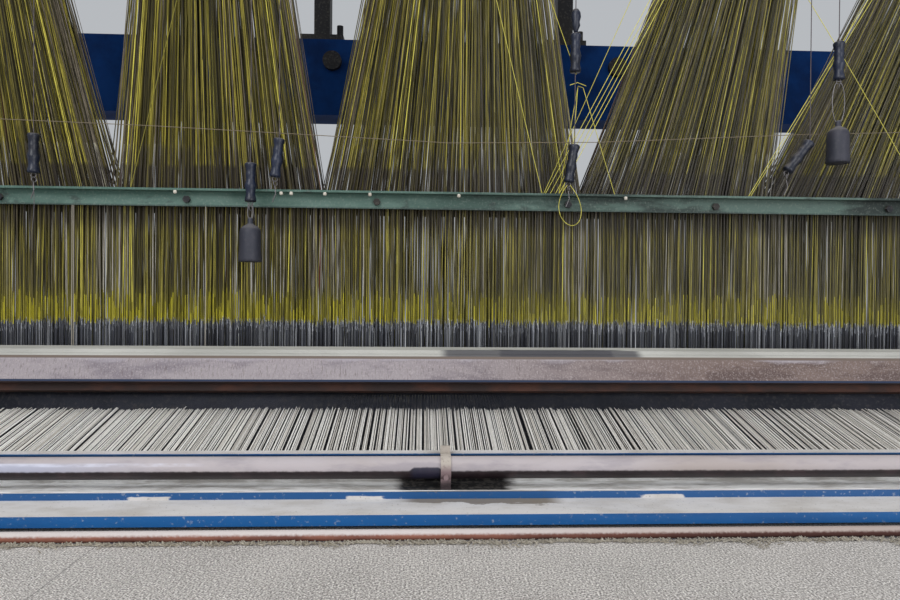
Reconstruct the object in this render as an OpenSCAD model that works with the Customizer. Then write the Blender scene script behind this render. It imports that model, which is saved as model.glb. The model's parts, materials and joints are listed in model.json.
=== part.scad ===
/* [Weaving width] */
// Width of the warp, and of the reed space that it fills
weave_w = 2300; // [1800:10:2800]
// Number of dent and harness columns over that width
columns = 110; // [60:2:118]
// Part of one column that its dent or cord ridge fills
ridge_share = 0.34; // [0.2:0.01:0.4]
// Clear space between the warp's edge and each side frame
side_room = 65; // [60:1:90]

/* [Cloth and warp] */
// Height of the cloth's upper face above the floor
cloth_z = 900; // [850:1:960]
// Thickness of cloth and warp sheets
sheet_t = 1.6; // [1:0.1:2]
// Rise of the upper warp sheet for each unit of depth
upper_rise = 0.2615; // [0.2:0.005:0.28]
// Fall of the lower warp sheet for each unit of depth
lower_fall = 0.1; // [0.06:0.005:0.105]
// Lift between a lowered and a raised harness column
lift = 90; // [60:1:95]
// Depth at which the sheets meet again behind the harness
lease_d = 700; // [660:1:740]

/* [Side frames] */
// Thickness of each side frame across its rims
frame_t = 55; // [45:1:65]
// Thickness of the frame's web
web_t = 16; // [12:1:22]
// Width of the rim round the frame's outline
rim_w = 26; // [20:1:34]
// How far the frame stands in front of the fell
frame_front = 400; // [395:1:440]
// How far the frame reaches behind the fell
frame_rear = 1150; // [1130:1:1200]

/* [Front] */
// Depth of the breast beam
breast_d = 100; // [90:1:120]
// Radius of the round nose that the cloth bends over
nose_r = 40; // [35:1:44]
// Depth of the guard rail from front face to rear flange
rail_d = 123; // [120:1:126]
// Distance from the fell to the rail's rear flange
rail_back = 34; // [32:1:36]
// Radius of the starting shaft
start_r = 13.7; // [13:0.1:16]
// Height of the starting shaft's centre above the cloth
start_h = 47.5; // [45.5:0.5:49]
// Radius of the bar that lies on the cloth
press_bar_r = 5.7; // [4.5:0.1:7]
// Radius of the take-up roller
take_up_r = 70; // [60:1:78]
// Radius of the pressing roller
press_r = 28; // [22:1:34]
// Radius of the wound cloth
cloth_roll_r = 140; // [90:1:150]

/* [Sley] */
// Height of the rocking shaft's centre above the floor
pivot_z = 120; // [110:1:130]
// Radius of the rocking shaft
rock_r = 30; // [26:1:34]
// Angle by which the sley leans back at rest
sley_back = 16.5; // [14:0.25:17]
// Drop of the race below the cloth when the sley is forward
race_drop = 8; // [7:0.5:12]
// Depth of the race board
race_d = 125; // [115:1:130]
// Clear height of the reed between race and cap
reed_h = 133; // [130:1:140]
// Depth of the reed cap
cap_d = 82; // [76:1:86]
// Height of the reed cap from its underside to its crown
cap_h = 81; // [72:1:88]
// Length of the shuttle
shuttle_l = 370; // [340:1:380]
// Travel of the pickers
picker_stroke = 130; // [100:1:135]

/* [Harness] */
// Distance from the fell to the front comber rail's web
comber_front = 361; // [358:1:366]
// Height of the comber rails above the cloth, to their underside
comber_h = 424; // [400:1:440]
// Height of the comber rails
comber_rail_h = 31; // [30:1:45]
// Depth of one harness group, front to back
group_d = 46; // [40:1:48]
// Height of the raised heddle eyes' tops above the cloth
heddle_top_h = 208; // [204:1:215]

/* [Warp beam and back rest] */
// Radius of the wound warp
warp_r = 200; // [120:1:230]
// Radius of the beam flanges
flange_r = 300; // [260:1:320]
// Radius of the back rest roller
back_rest_r = 55; // [45:1:60]

/* [Drive] */
// Teeth of the main gear
main_teeth = 96; // [90:2:100]
// Teeth of the motor pinion
pinion_teeth = 20; // [18:1:24]
// Module of the drive gears
drive_module = 4; // [3.8:0.1:4.2]
// Teeth of the warp beam gear
beam_teeth = 50; // [48:1:52]
// Teeth of the let-off pinion
let_off_teeth = 16; // [15:1:18]
// Module of the let-off gears
let_off_module = 6; // [5.8:0.1:6.2]

/* [Gantry] */
// Distance from the middle to each gantry post's centre
gantry_x = 1500; // [1480:1:1520]
// Width of the square gantry posts
post_w = 120; // [100:1:130]
// Distance of the front posts in front of the fell
post_front = 330; // [320:1:380]
// Distance of the rear posts behind the fell
post_rear = 1026; // [1000:1:1060]
// Height of the gantry posts
post_z = 2330; // [2250:1:2450]
// Height of the low rear beam's underside
low_beam_z = 1667; // [1600:1:1700]
// Height of the low rear beam
low_beam_h = 213; // [200:1:260]
// Height of each jacquard head
head_h = 620; // [560:1:700]

/* [Hidden] */
$fn = 64;

blue = "#1f5796";
green = "#5f8474";
steel = "#8a8780";
iron = "#33353f";

// Clearances: a still gap, a running fit and the gap over soft sheets
gap = 0.3;
fit = 0.05;
sheet_gap = 0.4;

// The fell is where warp becomes cloth, and all depths are counted from it
foot_w = post_w + 80;
front_reach = post_front + foot_w / 2;
rear_reach = beam_pos()[0] + flange_r;
fell_y = (front_reach - rear_reach) / 2;

pitch = weave_w / columns;
ridge_w = pitch * ridge_share;
strip_w = pitch - ridge_w - 4;
half_w = weave_w / 2;
frame_in = half_w + side_room;
frame_out = frame_in + frame_t;
cloth_half = half_w;
reed_t = 3.5;
fell_edge = -reed_t - 1;

// Shaft places as [depth, height]
function nose_pos() = [-frame_front + nose_r, cloth_z - sheet_t - sheet_gap - nose_r];
function take_up_pos() = [-frame_front + take_up_r, 640];
function cloth_roll_pos() = [-235, 330];
function press_pos() = take_up_pos()
    + (take_up_r + press_r + sheet_t + 2 * sheet_gap) * [cos(205), sin(205)];
function start_pos() = [-67, cloth_z + start_h];
function rock_pos() = [0, pivot_z];
function main_pos() = [480, 520];
function back_rest_pos() = [1000, cloth_z - sheet_t - sheet_gap - back_rest_r];
function rest_pivot() = [1062, 780];
function beam_pos() = [980, 430];
let_off_distance = let_off_module * (beam_teeth + let_off_teeth) / 2;
function let_off_pos() = beam_pos() + let_off_distance * [cos(135), sin(135)];
motor_distance = drive_module * (main_teeth + pinion_teeth) / 2;
function motor_pos() = main_pos() + motor_distance * [cos(-50), sin(-50)];

journal_r = 18;
main_r = 25;

// Harness levels
board_z = cloth_z + comber_h + 16;
board_t = 12;
comber_top = cloth_z + comber_h + comber_rail_h;
group_a = comber_front + 9;
group_b = group_a + group_d + 6;
comber_back = group_b + group_d + 5;
fan_z = board_z + board_t + lift + 10;
shed_d = group_a + group_d;
top_z = post_z + post_w;
cross_h = 120;
head_z = top_z + cross_h;
head_w = 860;
head_y0 = 190;
head_y1 = 660;
cross_front = [262, 342];
cross_rear = [500, 580];
hanger_y = 318;

// Jacquard heads, and the bunches of cords as [first column, end column, neck centre]
head_gap = 40;
head_middle = 0.054 * half_w;
heads = [
    head_middle - max(0.802 * half_w, head_w + head_gap), head_middle,
    head_middle + max(0.807 * half_w, head_w + head_gap)
];
bunches = [
    for (b = [[0, 24, -0.876], [24, 43, -0.437], [43, 67, 0.03], [67, 85, 0.652], [85, 110, 1.135]])
        [round(b[0] * columns / 110), round(b[1] * columns / 110), b[2] * half_w]
];
neck_w = 130;

function column_x(i) = -half_w + pitch * (i + 0.5);
function strip_x(i) = -half_w + pitch * i;

// Helpers that draw in the plane of depth and height and run along the width
module loom() {
    translate([0, fell_y, 0]) children();
}

module slab(x0, x1) {
    translate([x0, 0, 0]) rotate([90, 0, 90]) linear_extrude(x1 - x0) children();
}

module rod(x0, x1, pos, r) {
    translate([x0, pos[0], pos[1]]) rotate([0, 90, 0]) cylinder(h = x1 - x0, r = r);
}

module block(x, y, z) {
    translate([x[0], y[0], z[0]]) cube([x[1] - x[0], y[1] - y[0], z[1] - z[0]]);
}

module both_sides() {
    children();
    mirror([1, 0, 0]) children();
}

module on_sley() {
    translate([0, 0, pivot_z]) rotate([-sley_back, 0, 0]) children();
}

function unit(v) = v / norm(v);
function left_of(v) = [-v[1], v[0]];

// Moves every edge of an anticlockwise outline inwards by d
function inset(p, d) = [
    for (i = [0 : len(p) - 1])
        let (
            a = unit(p[i] - p[(i + len(p) - 1) % len(p)]),
            b = unit(p[(i + 1) % len(p)] - p[i]),
            n = unit(left_of(a) + left_of(b)),
            c = n * left_of(a)
        )
        p[i] + n * d / c
];

function arc(c, r, a0, a1, steps = 12) = [
    for (i = [0 : steps]) let (a = a0 + (a1 - a0) * i / steps) c + r * [cos(a), sin(a)]
];

// Angle of the touching points where a straight sheet leaves one roller for the next
function touch_angle(a, ra, b, rb, side) =
    let (d = b - a) atan2(d[1], d[0]) + side * acos((ra - rb) / norm(d));

module sheet_path(centre, t) {
    n = len(centre);
    normals = [
        for (i = [0 : n - 1])
            let (a = centre[max(i - 1, 0)], b = centre[min(i + 1, n - 1)]) left_of(unit(b - a))
    ];
    up = [for (i = [0 : n - 1]) centre[i] + normals[i] * t / 2];
    down = [for (i = [n - 1 : -1 : 0]) centre[i] - normals[i] * t / 2];
    polygon(concat(up, down));
}

// Involute spur gear drawn flat, with backlash taken from each tooth
function involute(rb, t) = rb * [cos(t) + t * PI / 180 * sin(t), sin(t) - t * PI / 180 * cos(t)];
function involute_turn(rb, r) = let (t = sqrt(pow(r / rb, 2) - 1)) t * 180 / PI - atan(t);
function turned(p, a) = [p[0] * cos(a) - p[1] * sin(a), p[0] * sin(a) + p[1] * cos(a)];

module spur_gear(m, teeth, backlash = 0.3) {
    pressure = 20;
    r = m * teeth / 2;
    rb = r * cos(pressure);
    ra = r + m * 0.95;
    rf = r - m * 1.25;
    start = max(rb, rf);
    half = 90 / teeth - backlash / 2 / r * 180 / PI + involute_turn(rb, r);
    t0 = sqrt(pow(start / rb, 2) - 1) * 180 / PI;
    t1 = sqrt(pow(ra / rb, 2) - 1) * 180 / PI;
    flank = [for (i = [0 : 3]) turned(involute(rb, t0 + (t1 - t0) * i / 3), -half)];
    n = len(flank);
    polygon([
        for (k = [0 : teeth - 1])
            let (a = 360 * k / teeth)
            each concat(
                [turned(rf * [cos(half), -sin(half)], a)],
                [for (i = [0 : n - 1]) turned(flank[i], a)],
                [for (i = [n - 1 : -1 : 0]) turned([flank[i][0], -flank[i][1]], a)],
                [turned(rf * [cos(half), sin(half)], a)]
            )
    ]);
}

// Side frames, with rims, webs, windows and shaft bosses
frame_low = 700;
frame_top = 880;
post_top = cloth_z - 8;
lease_y = lease_d - 50;
frame_outline = [
    [-frame_front, 0], [frame_rear, 0], [frame_rear, 120], [1120, 300], [1120, 830], [1070, frame_top],
    [600, frame_top], [500, frame_low], [-190, frame_low], [-215, 740], [-215, post_top],
    [-frame_front, post_top]
];
bosses = [
    [take_up_pos(), journal_r], [press_pos(), 10], [cloth_roll_pos(), journal_r], [rock_pos(), rock_r],
    [main_pos(), main_r], [beam_pos(), journal_r + 7], [rest_pivot(), 12], [let_off_pos(), 14]
];
boss_wall = 24;
windows = [[[110, 330], 130, 300], [[330, 260], 150, 300], [[690, 250], 130, 260]];

module window(centre, w, h) {
    r = w / 2;
    translate(centre) {
        square([w, h - w], center = true);
        for (s = [-1, 1]) translate([0, s * (h - w) / 2]) circle(r);
    }
}

module side_frame() {
    difference() {
        union() {
            slab(frame_in, frame_in + web_t) difference() {
                polygon(frame_outline);
                for (w = windows) window(w[0], w[1], w[2]);
            }
            slab(frame_in, frame_out) difference() {
                polygon(frame_outline);
                polygon(inset(frame_outline, rim_w));
            }
            slab(frame_in, frame_out - 15) for (w = windows) difference() {
                window(w[0], w[1] + 30, w[2] + 30);
                window(w[0], w[1], w[2]);
            }
            for (b = bosses) rod(frame_in, frame_out, b[0], b[1] + boss_wall);
        }
        for (b = bosses) rod(frame_in - 1, frame_out + 1, b[0], b[1] + fit);
    }
}

module side_frame_left() {
    color(blue) loom() mirror([1, 0, 0]) side_frame();
}

module side_frame_right() {
    color(blue) loom() side_frame();
}

// Cross ties, channel section
module channel(y, z, t) {
    difference() {
        translate([y[0], z[0]]) square([y[1] - y[0], z[1] - z[0]]);
        translate([y[0] + t, z[0] + t]) square([y[1] - y[0], z[1] - z[0] - 2 * t]);
    }
}

front_girt = [[-395, -345], [60, 150]];
rear_girt = [[600, 660], [50, 160]];
girt_t = 8;

module girts() {
    color(blue) loom() slab(-frame_in, frame_in) {
        channel(front_girt[0], front_girt[1], girt_t);
        channel(rear_girt[0], rear_girt[1], girt_t);
    }
}

// Breast beam with the round nose
module breast_beam() {
    n = nose_pos();
    top = n[1] + nose_r;
    color(blue) loom() difference() {
        slab(-frame_in, frame_in) {
            translate([n[0], top - 100]) square([breast_d - nose_r, 100]);
            translate([n[0] - nose_r, top - 100]) square([nose_r, 100 - nose_r]);
            intersection() {
                translate(n) circle(nose_r);
                translate(n - [nose_r, 0]) square(nose_r);
            }
        }
        slab(-frame_in - 1, frame_in + 1)
            translate([n[0] - nose_r + 8, top - 92]) square([breast_d - 16, 84 - nose_r + 12]);
    }
}

// Guard rail: a folded profile with a shelf, an upstand, a trough and a rear flange
rail_low = 7;
shelf_h = 19;
upstand_h = 27.5;
upstand_d = 56;
fold_t = 3;
return_d = 8;
trough_h = 22;
flange_h = 61;
bracket_x = [half_w + 15, half_w + 55];

module temple_rail() {
    r = -rail_back;
    f = r - rail_d;
    u = [f + upstand_d, f + upstand_d + 2 * fold_t];
    web = r - fold_t;
    color(blue) loom() translate([0, 0, cloth_z]) slab(-bracket_x[1], bracket_x[1]) polygon([
        [f, rail_low], [f, shelf_h], [u[0], shelf_h], [u[0], upstand_h], [u[1], upstand_h],
        [u[1], trough_h], [web, trough_h], [web, flange_h - 4], [r - return_d, flange_h - 4],
        [r - return_d, flange_h], [r, flange_h], [r, rail_low], [web, rail_low], [web, trough_h - fold_t],
        [u[1], trough_h - fold_t], [u[1], shelf_h - fold_t], [f + fold_t, shelf_h - fold_t],
        [f + fold_t, rail_low]
    ]);
}

module rail_brackets() {
    top = nose_pos()[1] + nose_r;
    color(iron) loom() both_sides() {
        difference() {
            union() {
                block(bracket_x, [-frame_front + 15, -rail_back], [top, cloth_z + rail_low]);
                block(bracket_x, [press_bar_y - 16, press_bar_y + 16], [cloth_z + rail_low, cloth_z + 22]);
            }
            rod(bracket_x[0] - 1, bracket_x[1] + 1, press_bar_pos(), press_bar_r + fit);
        }
    }
}

press_bar_y = -181;
function press_bar_pos() = [press_bar_y, cloth_z + press_bar_r + gap];

module press_bar() {
    color("#b5622f") loom() rod(-bracket_x[1], bracket_x[1], press_bar_pos(), press_bar_r);
}

// Flat straps that carry the starting shaft in the trough
strap_xs = [-half_w + 30, -26, half_w - 30];
strap_w = 12.5;
strap_t = 3;

module shaft_straps() {
    s = start_pos();
    color(steel) loom() for (x = strap_xs) difference() {
        union() {
            rod(x - strap_w / 2, x + strap_w / 2, s, start_r + fit + strap_t);
            block([x - strap_w / 2, x + strap_w / 2], [s[0] - 12, s[0] + 12],
                [cloth_z + trough_h, s[1] - start_r + 2]);
            block([x - strap_w / 2, x + strap_w / 2], [s[0] - 20, s[0] + 26],
                [cloth_z + trough_h, cloth_z + trough_h + 5]);
            block([x - strap_w / 2, x + strap_w / 2], [s[0] + start_r - 2, s[0] + start_r + 2],
                [s[1], s[1] + start_r + 10]);
            translate([x, s[0] - start_r + 1, s[1] - 8]) rotate([90, 0, 0]) cylinder(h = 7, r = 3);
        }
        rod(x - strap_w, x + strap_w, s, start_r + fit);
    }
}

lever_x = [half_w + 62, half_w + 90];
lever_reach = 333;
lever_rise = 72;
knob_r = 17;

module start_shaft() {
    s = start_pos();
    color("#4a3035") loom() {
        rod(-lever_x[1], lever_x[1], s, start_r);
        both_sides() {
            difference() {
                rod(lever_x[0], lever_x[1], s, start_r + 10);
                rod(lever_x[0] - 1, lever_x[1] + 1, s, start_r);
            }
            translate([0, s[0], s[1]]) {
                slab(lever_x[0] + 6, lever_x[1] - 6) polygon([
                    [-20, 14], [-20, -12], [-lever_reach, 10], [-lever_reach - 10, lever_rise - 12],
                    [30 - lever_reach, lever_rise - 2], [30 - lever_reach, 34]
                ]);
                translate([(lever_x[0] + lever_x[1]) / 2, 12 - lever_reach, lever_rise]) sphere(knob_r);
            }
        }
    }
}

// Cloth from the fell over the nose to the take-up roller and the wound cloth
module cloth() {
    n = nose_pos();
    t = take_up_pos();
    c = cloth_roll_pos();
    mid = sheet_gap + sheet_t / 2;
    rt = take_up_r + mid;
    rc = cloth_roll_r + mid;
    leave = 360 + touch_angle(t, rt, c, -rc, -1);
    path = concat(
        [[fell_edge, cloth_z - sheet_t / 2]],
        arc(n, nose_r + mid, 90, 180),
        arc(t, rt, 180, leave),
        arc(c, rc, leave - 180, leave - 188, 3)
    );
    color("#a9a39c") loom() slab(-cloth_half, cloth_half) sheet_path(path, sheet_t);
}

// Warp: two sheets of strips over the shed, one closed sheet behind the lease
module warp() {
    h0 = cloth_z - sheet_t / 2;
    b = back_rest_pos();
    w = beam_pos();
    mid = sheet_gap + sheet_t / 2;
    rb = back_rest_r + mid;
    rw = warp_r + mid;
    leave = touch_angle(b, rb, w, rw, 1);
    upper = [[fell_edge + gap, h0], [shed_d, h0 + upper_rise * shed_d], [lease_d, h0 + 3], [lease_d + 20, h0]];
    lower = [[fell_edge + gap, h0], [group_b + group_d / 2, h0 - lower_fall * (group_b + group_d / 2)],
        [lease_d, h0 - 3], [lease_d + 20, h0]];
    rear = concat(
        [[lease_d + 10, h0], [lease_d + 20, h0]],
        arc(b, rb, 90, leave),
        arc(w, rw, leave, leave - 8, 3)
    );
    color("#b9b5ae") loom() {
        for (i = [0 : columns]) {
            x = strip_x(i);
            slab(x - strip_w / 2, x + strip_w / 2) {
                sheet_path(upper, sheet_t);
                sheet_path(lower, sheet_t);
            }
        }
        slab(-half_w - strip_w / 2, half_w + strip_w / 2) sheet_path(rear, sheet_t);
    }
}

module lease_rods() {
    r = 9;
    inner = [lease_y, cloth_z + 4];
    outer = [lease_d + 60, cloth_z - sheet_t - sheet_gap - r];
    color(steel) loom() for (p = [inner, outer]) {
        rod(-frame_out, frame_out, p, r);
        both_sides() block([frame_in, frame_out], [p[0] - 12, p[0] + 12], [frame_top, p[1] - r + 4]);
    }
}

// Comber board and its rails
module comber_board() {
    color("#6b5a45") loom() difference() {
        block([-frame_in - 10, frame_in + 10], [comber_front + 4, comber_back], [board_z, board_z + board_t]);
        for (i = [0 : columns - 1]) {
            w = ridge_w / 2 + 0.5;
            block([column_x(i) - w, column_x(i) + w], [group_a - 0.5, group_b + group_d + 0.5],
                [board_z - 1, board_z + board_t + 1]);
        }
    }
}

rail_t = 4;
rail_flange = 22;
bolt_xs = [-837, -497, -144, 220, 507, 851];

module comber_rails() {
    z0 = cloth_z + comber_h;
    f = comber_front;
    b = comber_back;
    color(green) loom() slab(-frame_in - 10, frame_in + 10) {
        polygon([[f, z0], [f + rail_t, z0], [f + rail_t, comber_top], [f - rail_flange + rail_t, comber_top],
            [f - rail_flange + rail_t, comber_top - rail_t], [f, comber_top - rail_t]]);
        polygon([[b, z0], [b + rail_t, z0], [b + rail_t, comber_top - rail_t],
            [b + rail_flange, comber_top - rail_t], [b + rail_flange, comber_top], [b, comber_top]]);
    }
}

module rail_bolts() {
    z = cloth_z + comber_h + 0.4 * comber_rail_h;
    color(iron) loom() for (x = bolt_xs) {
        translate([x, comber_front, z]) rotate([90, 0, 0]) cylinder(h = 6, r = 7, $fn = 6);
        translate([x, comber_back + rail_t, z]) rotate([-90, 0, 0]) cylinder(h = 6, r = 7, $fn = 6);
    }
}

module comber_hangers() {
    x = [frame_in + 10, frame_in + 25];
    color(blue) loom() both_sides() {
        block(x, [comber_front - 6, comber_back + 10], [frame_low, comber_top + 14]);
        block([frame_in, frame_out], [comber_front - 6, comber_back + 10], [frame_low, frame_low + 14]);
    }
}

// Fans of harness cords from the comber board to the necks below each head
module harness_fans() {
    color("#8b8430") loom() for (b = bunches) {
        n = b[1] - b[0];
        step = neck_w / n;
        for (i = [b[0] : b[1] - 1]) {
            x = column_x(i);
            top = b[2] - neck_w / 2 + step * (i - b[0] + 0.5);
            for (y = [group_a, group_b]) translate([0, y + group_d, 0]) rotate([90, 0, 0])
                linear_extrude(group_d) polygon([
                    [x - ridge_w / 2, fan_z], [x + ridge_w / 2, fan_z],
                    [top + step * 0.32, head_z - gap], [top - step * 0.32, head_z - gap]
                ]);
        }
    }
}

// Harness columns: cord, heddle and lingo in one ridge, tied by two thin bars
harness_l = 408;

module harness_group(y, drop) {
    top = cloth_z + heddle_top_h - drop;
    cord_w = ridge_w;
    for (i = [0 : columns - 1]) {
        x = column_x(i);
        block([x - cord_w / 2, x + cord_w / 2], [y, y + group_d], [top - harness_l, fan_z - gap - drop]);
    }
    block([column_x(0), column_x(columns - 1)], [y + 4, y + group_d - 4], [top - 8, top]);
    block([column_x(0), column_x(columns - 1)], [y + 4, y + group_d - 4],
        [top - harness_l, top - harness_l + 12]);
}

module harness_a() {
    color("#7d7a34") loom() harness_group(group_a, 0);
}

module harness_b() {
    color("#6d6a30") loom() harness_group(group_b, lift);
}

// Gantry: posts, foot plates and the beams that carry the heads
module gantry_side() {
    x = [gantry_x - post_w / 2, gantry_x + post_w / 2];
    for (y = [-post_front, post_rear]) {
        block(x, [y - post_w / 2, y + post_w / 2], [0, post_z]);
        block([gantry_x - foot_w / 2, gantry_x + foot_w / 2], [y - foot_w / 2, y + foot_w / 2], [0, 16]);
    }
    block(x, [-post_front - post_w / 2, post_rear + post_w / 2], [post_z, top_z]);
}

module gantry_left() {
    color(blue) loom() mirror([1, 0, 0]) gantry_side();
}

module gantry_right() {
    color(blue) loom() gantry_side();
}

module i_beam(y, z, flange) {
    mid = (y[0] + y[1]) / 2;
    polygon([
        [y[0], z[0]], [y[1], z[0]], [y[1], z[0] + flange], [mid + 5, z[0] + flange],
        [mid + 5, z[1] - flange], [y[1], z[1] - flange], [y[1], z[1]], [y[0], z[1]],
        [y[0], z[1] - flange], [mid - 5, z[1] - flange], [mid - 5, z[0] + flange], [y[0], z[0] + flange]
    ]);
}

module cross_beam(y) {
    slab(-gantry_x - post_w / 2, gantry_x + post_w / 2) i_beam(y, [top_z, head_z], 12);
}

module cross_beam_front() {
    color(blue) loom() cross_beam(cross_front);
}

module cross_beam_rear() {
    color(blue) loom() cross_beam(cross_rear);
}

module low_beam() {
    y = [post_rear - 50, post_rear + 50];
    z = [low_beam_z, low_beam_z + low_beam_h];
    color(blue) loom() difference() {
        block([-gantry_x + post_w / 2, gantry_x - post_w / 2], y, z);
        block([-gantry_x, gantry_x], y + [8, -8], z + [8, -8]);
    }
}

cap_xs = [-720, -315, 90, 495, 900];
casting_xs = [-346, 346];

module beam_fittings() {
    y = post_rear - 50;
    z = low_beam_z + low_beam_h;
    color(iron) loom() {
        for (x = cap_xs) translate([x, y, low_beam_z + 150]) rotate([90, 0, 0]) cylinder(h = 16, r = 26);
        for (x = casting_xs) {
            block([x - 60, x + 60], [y, y + 60], [z, z + 14]);
            block([x - 22, x + 22], [y + 4, y + 52], [z + 14, z + 150]);
            translate([x + 48, y + 28, z + 14]) cylinder(h = 34, r = 9);
        }
    }
}

// Jacquard heads: cheeks, top and a bottom grid that the hooks stand in
hook_rows = 6;
hook_columns = 11;
hook_w = 4;
cheek_t = 18;
hook_l = 300;
hook_step = [(head_w - 2 * cheek_t - 64) / (hook_columns - 1), 42];
function hook_x(i) = (i - (hook_columns - 1) / 2) * hook_step[0];
function hook_y(j) = group_a - 60 + j * hook_step[1];

module head(x) {
    z0 = head_z;
    z1 = head_z + head_h;
    difference() {
        union() {
            for (s = [-1, 1]) translate([x + s * (head_w - cheek_t) / 2 - cheek_t / 2, 0, 0])
                block([0, cheek_t], [head_y0, head_y1], [z0, z1]);
            block([x - head_w / 2, x + head_w / 2], [head_y0, head_y1], [z0, z0 + 30]);
            block([x - head_w / 2, x + head_w / 2], [head_y0, head_y1], [z1 - 40, z1]);
            block([x - head_w / 2, x + head_w / 2], [head_y1 - 90, head_y1], [z0, z1]);
        }
        for (i = [0 : hook_columns - 1], j = [0 : hook_rows - 1])
            translate([x + hook_x(i), hook_y(j), z0 + 15]) cube([hook_w + 1, hook_w + 1, 40], center = true);
    }
}

module head_left() {
    color("#3a5f55") loom() head(heads[0]);
}

module head_centre() {
    color("#3a5f55") loom() head(heads[1]);
}

module head_right() {
    color("#3a5f55") loom() head(heads[2]);
}

// Griffes: knives across each head, with the hooks that hang on them
module griffe(x, rows, drop) {
    z = head_z + hook_l + lift + 12 - drop;
    inner = head_w / 2 - cheek_t - gap;
    for (j = rows) {
        for (i = [0 : hook_columns - 1])
            translate([x + hook_x(i), hook_y(j), z]) {
                translate([-hook_w / 2, -hook_w / 2, -hook_l]) cube([hook_w, hook_w, hook_l + 20]);
                translate([-hook_w / 2, -hook_w / 2, 18]) cube([hook_w, 16, hook_w]);
                translate([-hook_w / 2, 8, 6]) cube([hook_w, hook_w, 16]);
            }
        block([x - inner, x + inner], [hook_y(j) + hook_w / 2, hook_y(j) + 7], [z - 6, z + 14]);
    }
    for (s = [-1, 1]) translate([x + s * (inner - 5), 0, 0])
        block([-5, 5], [hook_y(rows[0]) - 10, hook_y(rows[len(rows) - 1]) + 20], [z - 10, z + 18]);
}

module griffe_a() {
    color(steel) loom() for (x = heads) griffe(x, [0, 1, 2], 0);
}

module griffe_b() {
    color(steel) loom() for (x = heads) griffe(x, [3, 4, 5], lift);
}

// Sley parts, drawn upright about the rocking shaft
race_r = cloth_z - pivot_z - race_drop;
race_bevel = sley_back - atan(lower_fall);
beam_h = 100;
box_in = half_w + 100;
picker_l = 60;
end_t = 14;
box_out = box_in + 12 + shuttle_l + picker_stroke + picker_l + end_t + 4;
groove = 5;
race_front = race_r - race_d * tan(race_bevel);
race_under = race_front - 14;
slot_y = [-75, -53];
slot_x = [box_out - picker_stroke - picker_l - 50, box_out - end_t - 4];

module stick_slots() {
    both_sides() block(slot_x, slot_y, [race_under - beam_h - 1, race_r + 1]);
}

module sley_beam() {
    color("#6e5a44") loom() on_sley() difference() {
        slab(-box_out, box_out) polygon([
            [-groove - race_d, race_under - beam_h], [24, race_under - beam_h], [24, race_r - 8],
            [groove, race_r - 8], [groove, race_under - 6], [-groove, race_under - 6],
            [-groove, race_under], [-groove - race_d, race_under]
        ]);
        stick_slots();
    }
}

module race_board() {
    color("#8a7355") loom() on_sley() difference() {
        slab(-box_out, box_out) polygon([
            [-groove - race_d, race_under], [-groove, race_under], [-groove, race_r],
            [-groove - race_d, race_front]
        ]);
        stick_slots();
    }
}

cap_low = race_r + reed_h + 3;
cap_front = -47;
crown_d = 30;
nosing_r = 12;

module sley_swords() {
    inner_x = 340;
    outer_x = half_w + 20;
    t = 28;
    low = race_under - beam_h;
    color(iron) loom() on_sley() both_sides() for (x = [inner_x, outer_x]) difference() {
        union() {
            rod(x - 6, x + t + 6, [0, 0], rock_r + 24);
            slab(x, x + t) polygon([[-46, 0], [46, 0], [24, low - 60], [24, low], [-90, low], [-70, low - 60]]);
            if (x == outer_x) {
                slab(x, x + t) polygon([[24, low - 60], [40, low - 20], [40, cap_low], [24, cap_low]]);
            }
        }
        rod(x - 10, x + t + 10, [0, 0], rock_r);
        slab(x - 1, x + t + 1) translate([-22, 160]) square([34, low - 330]);
    }
}

rock_half = box_out - 20;

module rock_shaft() {
    color(steel) loom() on_sley() {
        rod(-rock_half, rock_half, [0, 0], rock_r);
        both_sides() difference() {
            block([stick_x - 46, stick_x + 46], [stick_y[0], -rock_r + 4], [-30, 30]);
            translate([stick_x, stick_y[0] - 1, 0]) rotate([-90, 0, 0]) cylinder(h = 36, r = pin_r + fit);
        }
    }
}

module reed() {
    z0 = race_under - 6;
    color("#33353f") loom() on_sley() difference() {
        block([-half_w - 20, half_w + 20], [-reed_t, reed_t], [z0, cap_low + 12]);
        for (i = [0 : columns])
            block([strip_x(i) - (pitch - ridge_w) / 2, strip_x(i) + (pitch - ridge_w) / 2],
                [-reed_t - 1, reed_t + 1], [race_r - 4, cap_low - 2]);
    }
}

cap_half = half_w + 60;
lip_d = 19;
foot_h = 12;
back_chamfer = 14;

module reed_cap() {
    f = cap_front;
    b = f + cap_d;
    z0 = cap_low;
    crown = z0 + cap_h;
    color("#8f8688") loom() on_sley() difference() {
        slab(-cap_half, cap_half) difference() {
            union() {
                polygon([[f, z0 + foot_h], [f + lip_d, z0 + foot_h], [f + lip_d, z0],
                    [b - back_chamfer, z0], [b - back_chamfer, z0 + foot_h],
                    [b, z0 + foot_h], [b, crown - 18], [b - back_chamfer, crown - 5], [f + 42, crown],
                    [f + 12, crown - 12], [f, crown - crown_d]]);
                translate([f + nosing_r, crown - crown_d]) circle(nosing_r);
            }
            translate([-reed_t - gap, z0 - 1]) square([2 * (reed_t + gap), foot_h + 1 + gap]);
        }
    }
}

// Shuttle boxes with their back and front plates, end plates and picker spindles
spindle_y = -28;
spindle_z = race_r + 62;
spindle_r = 7;
float_h = 18;

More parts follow.
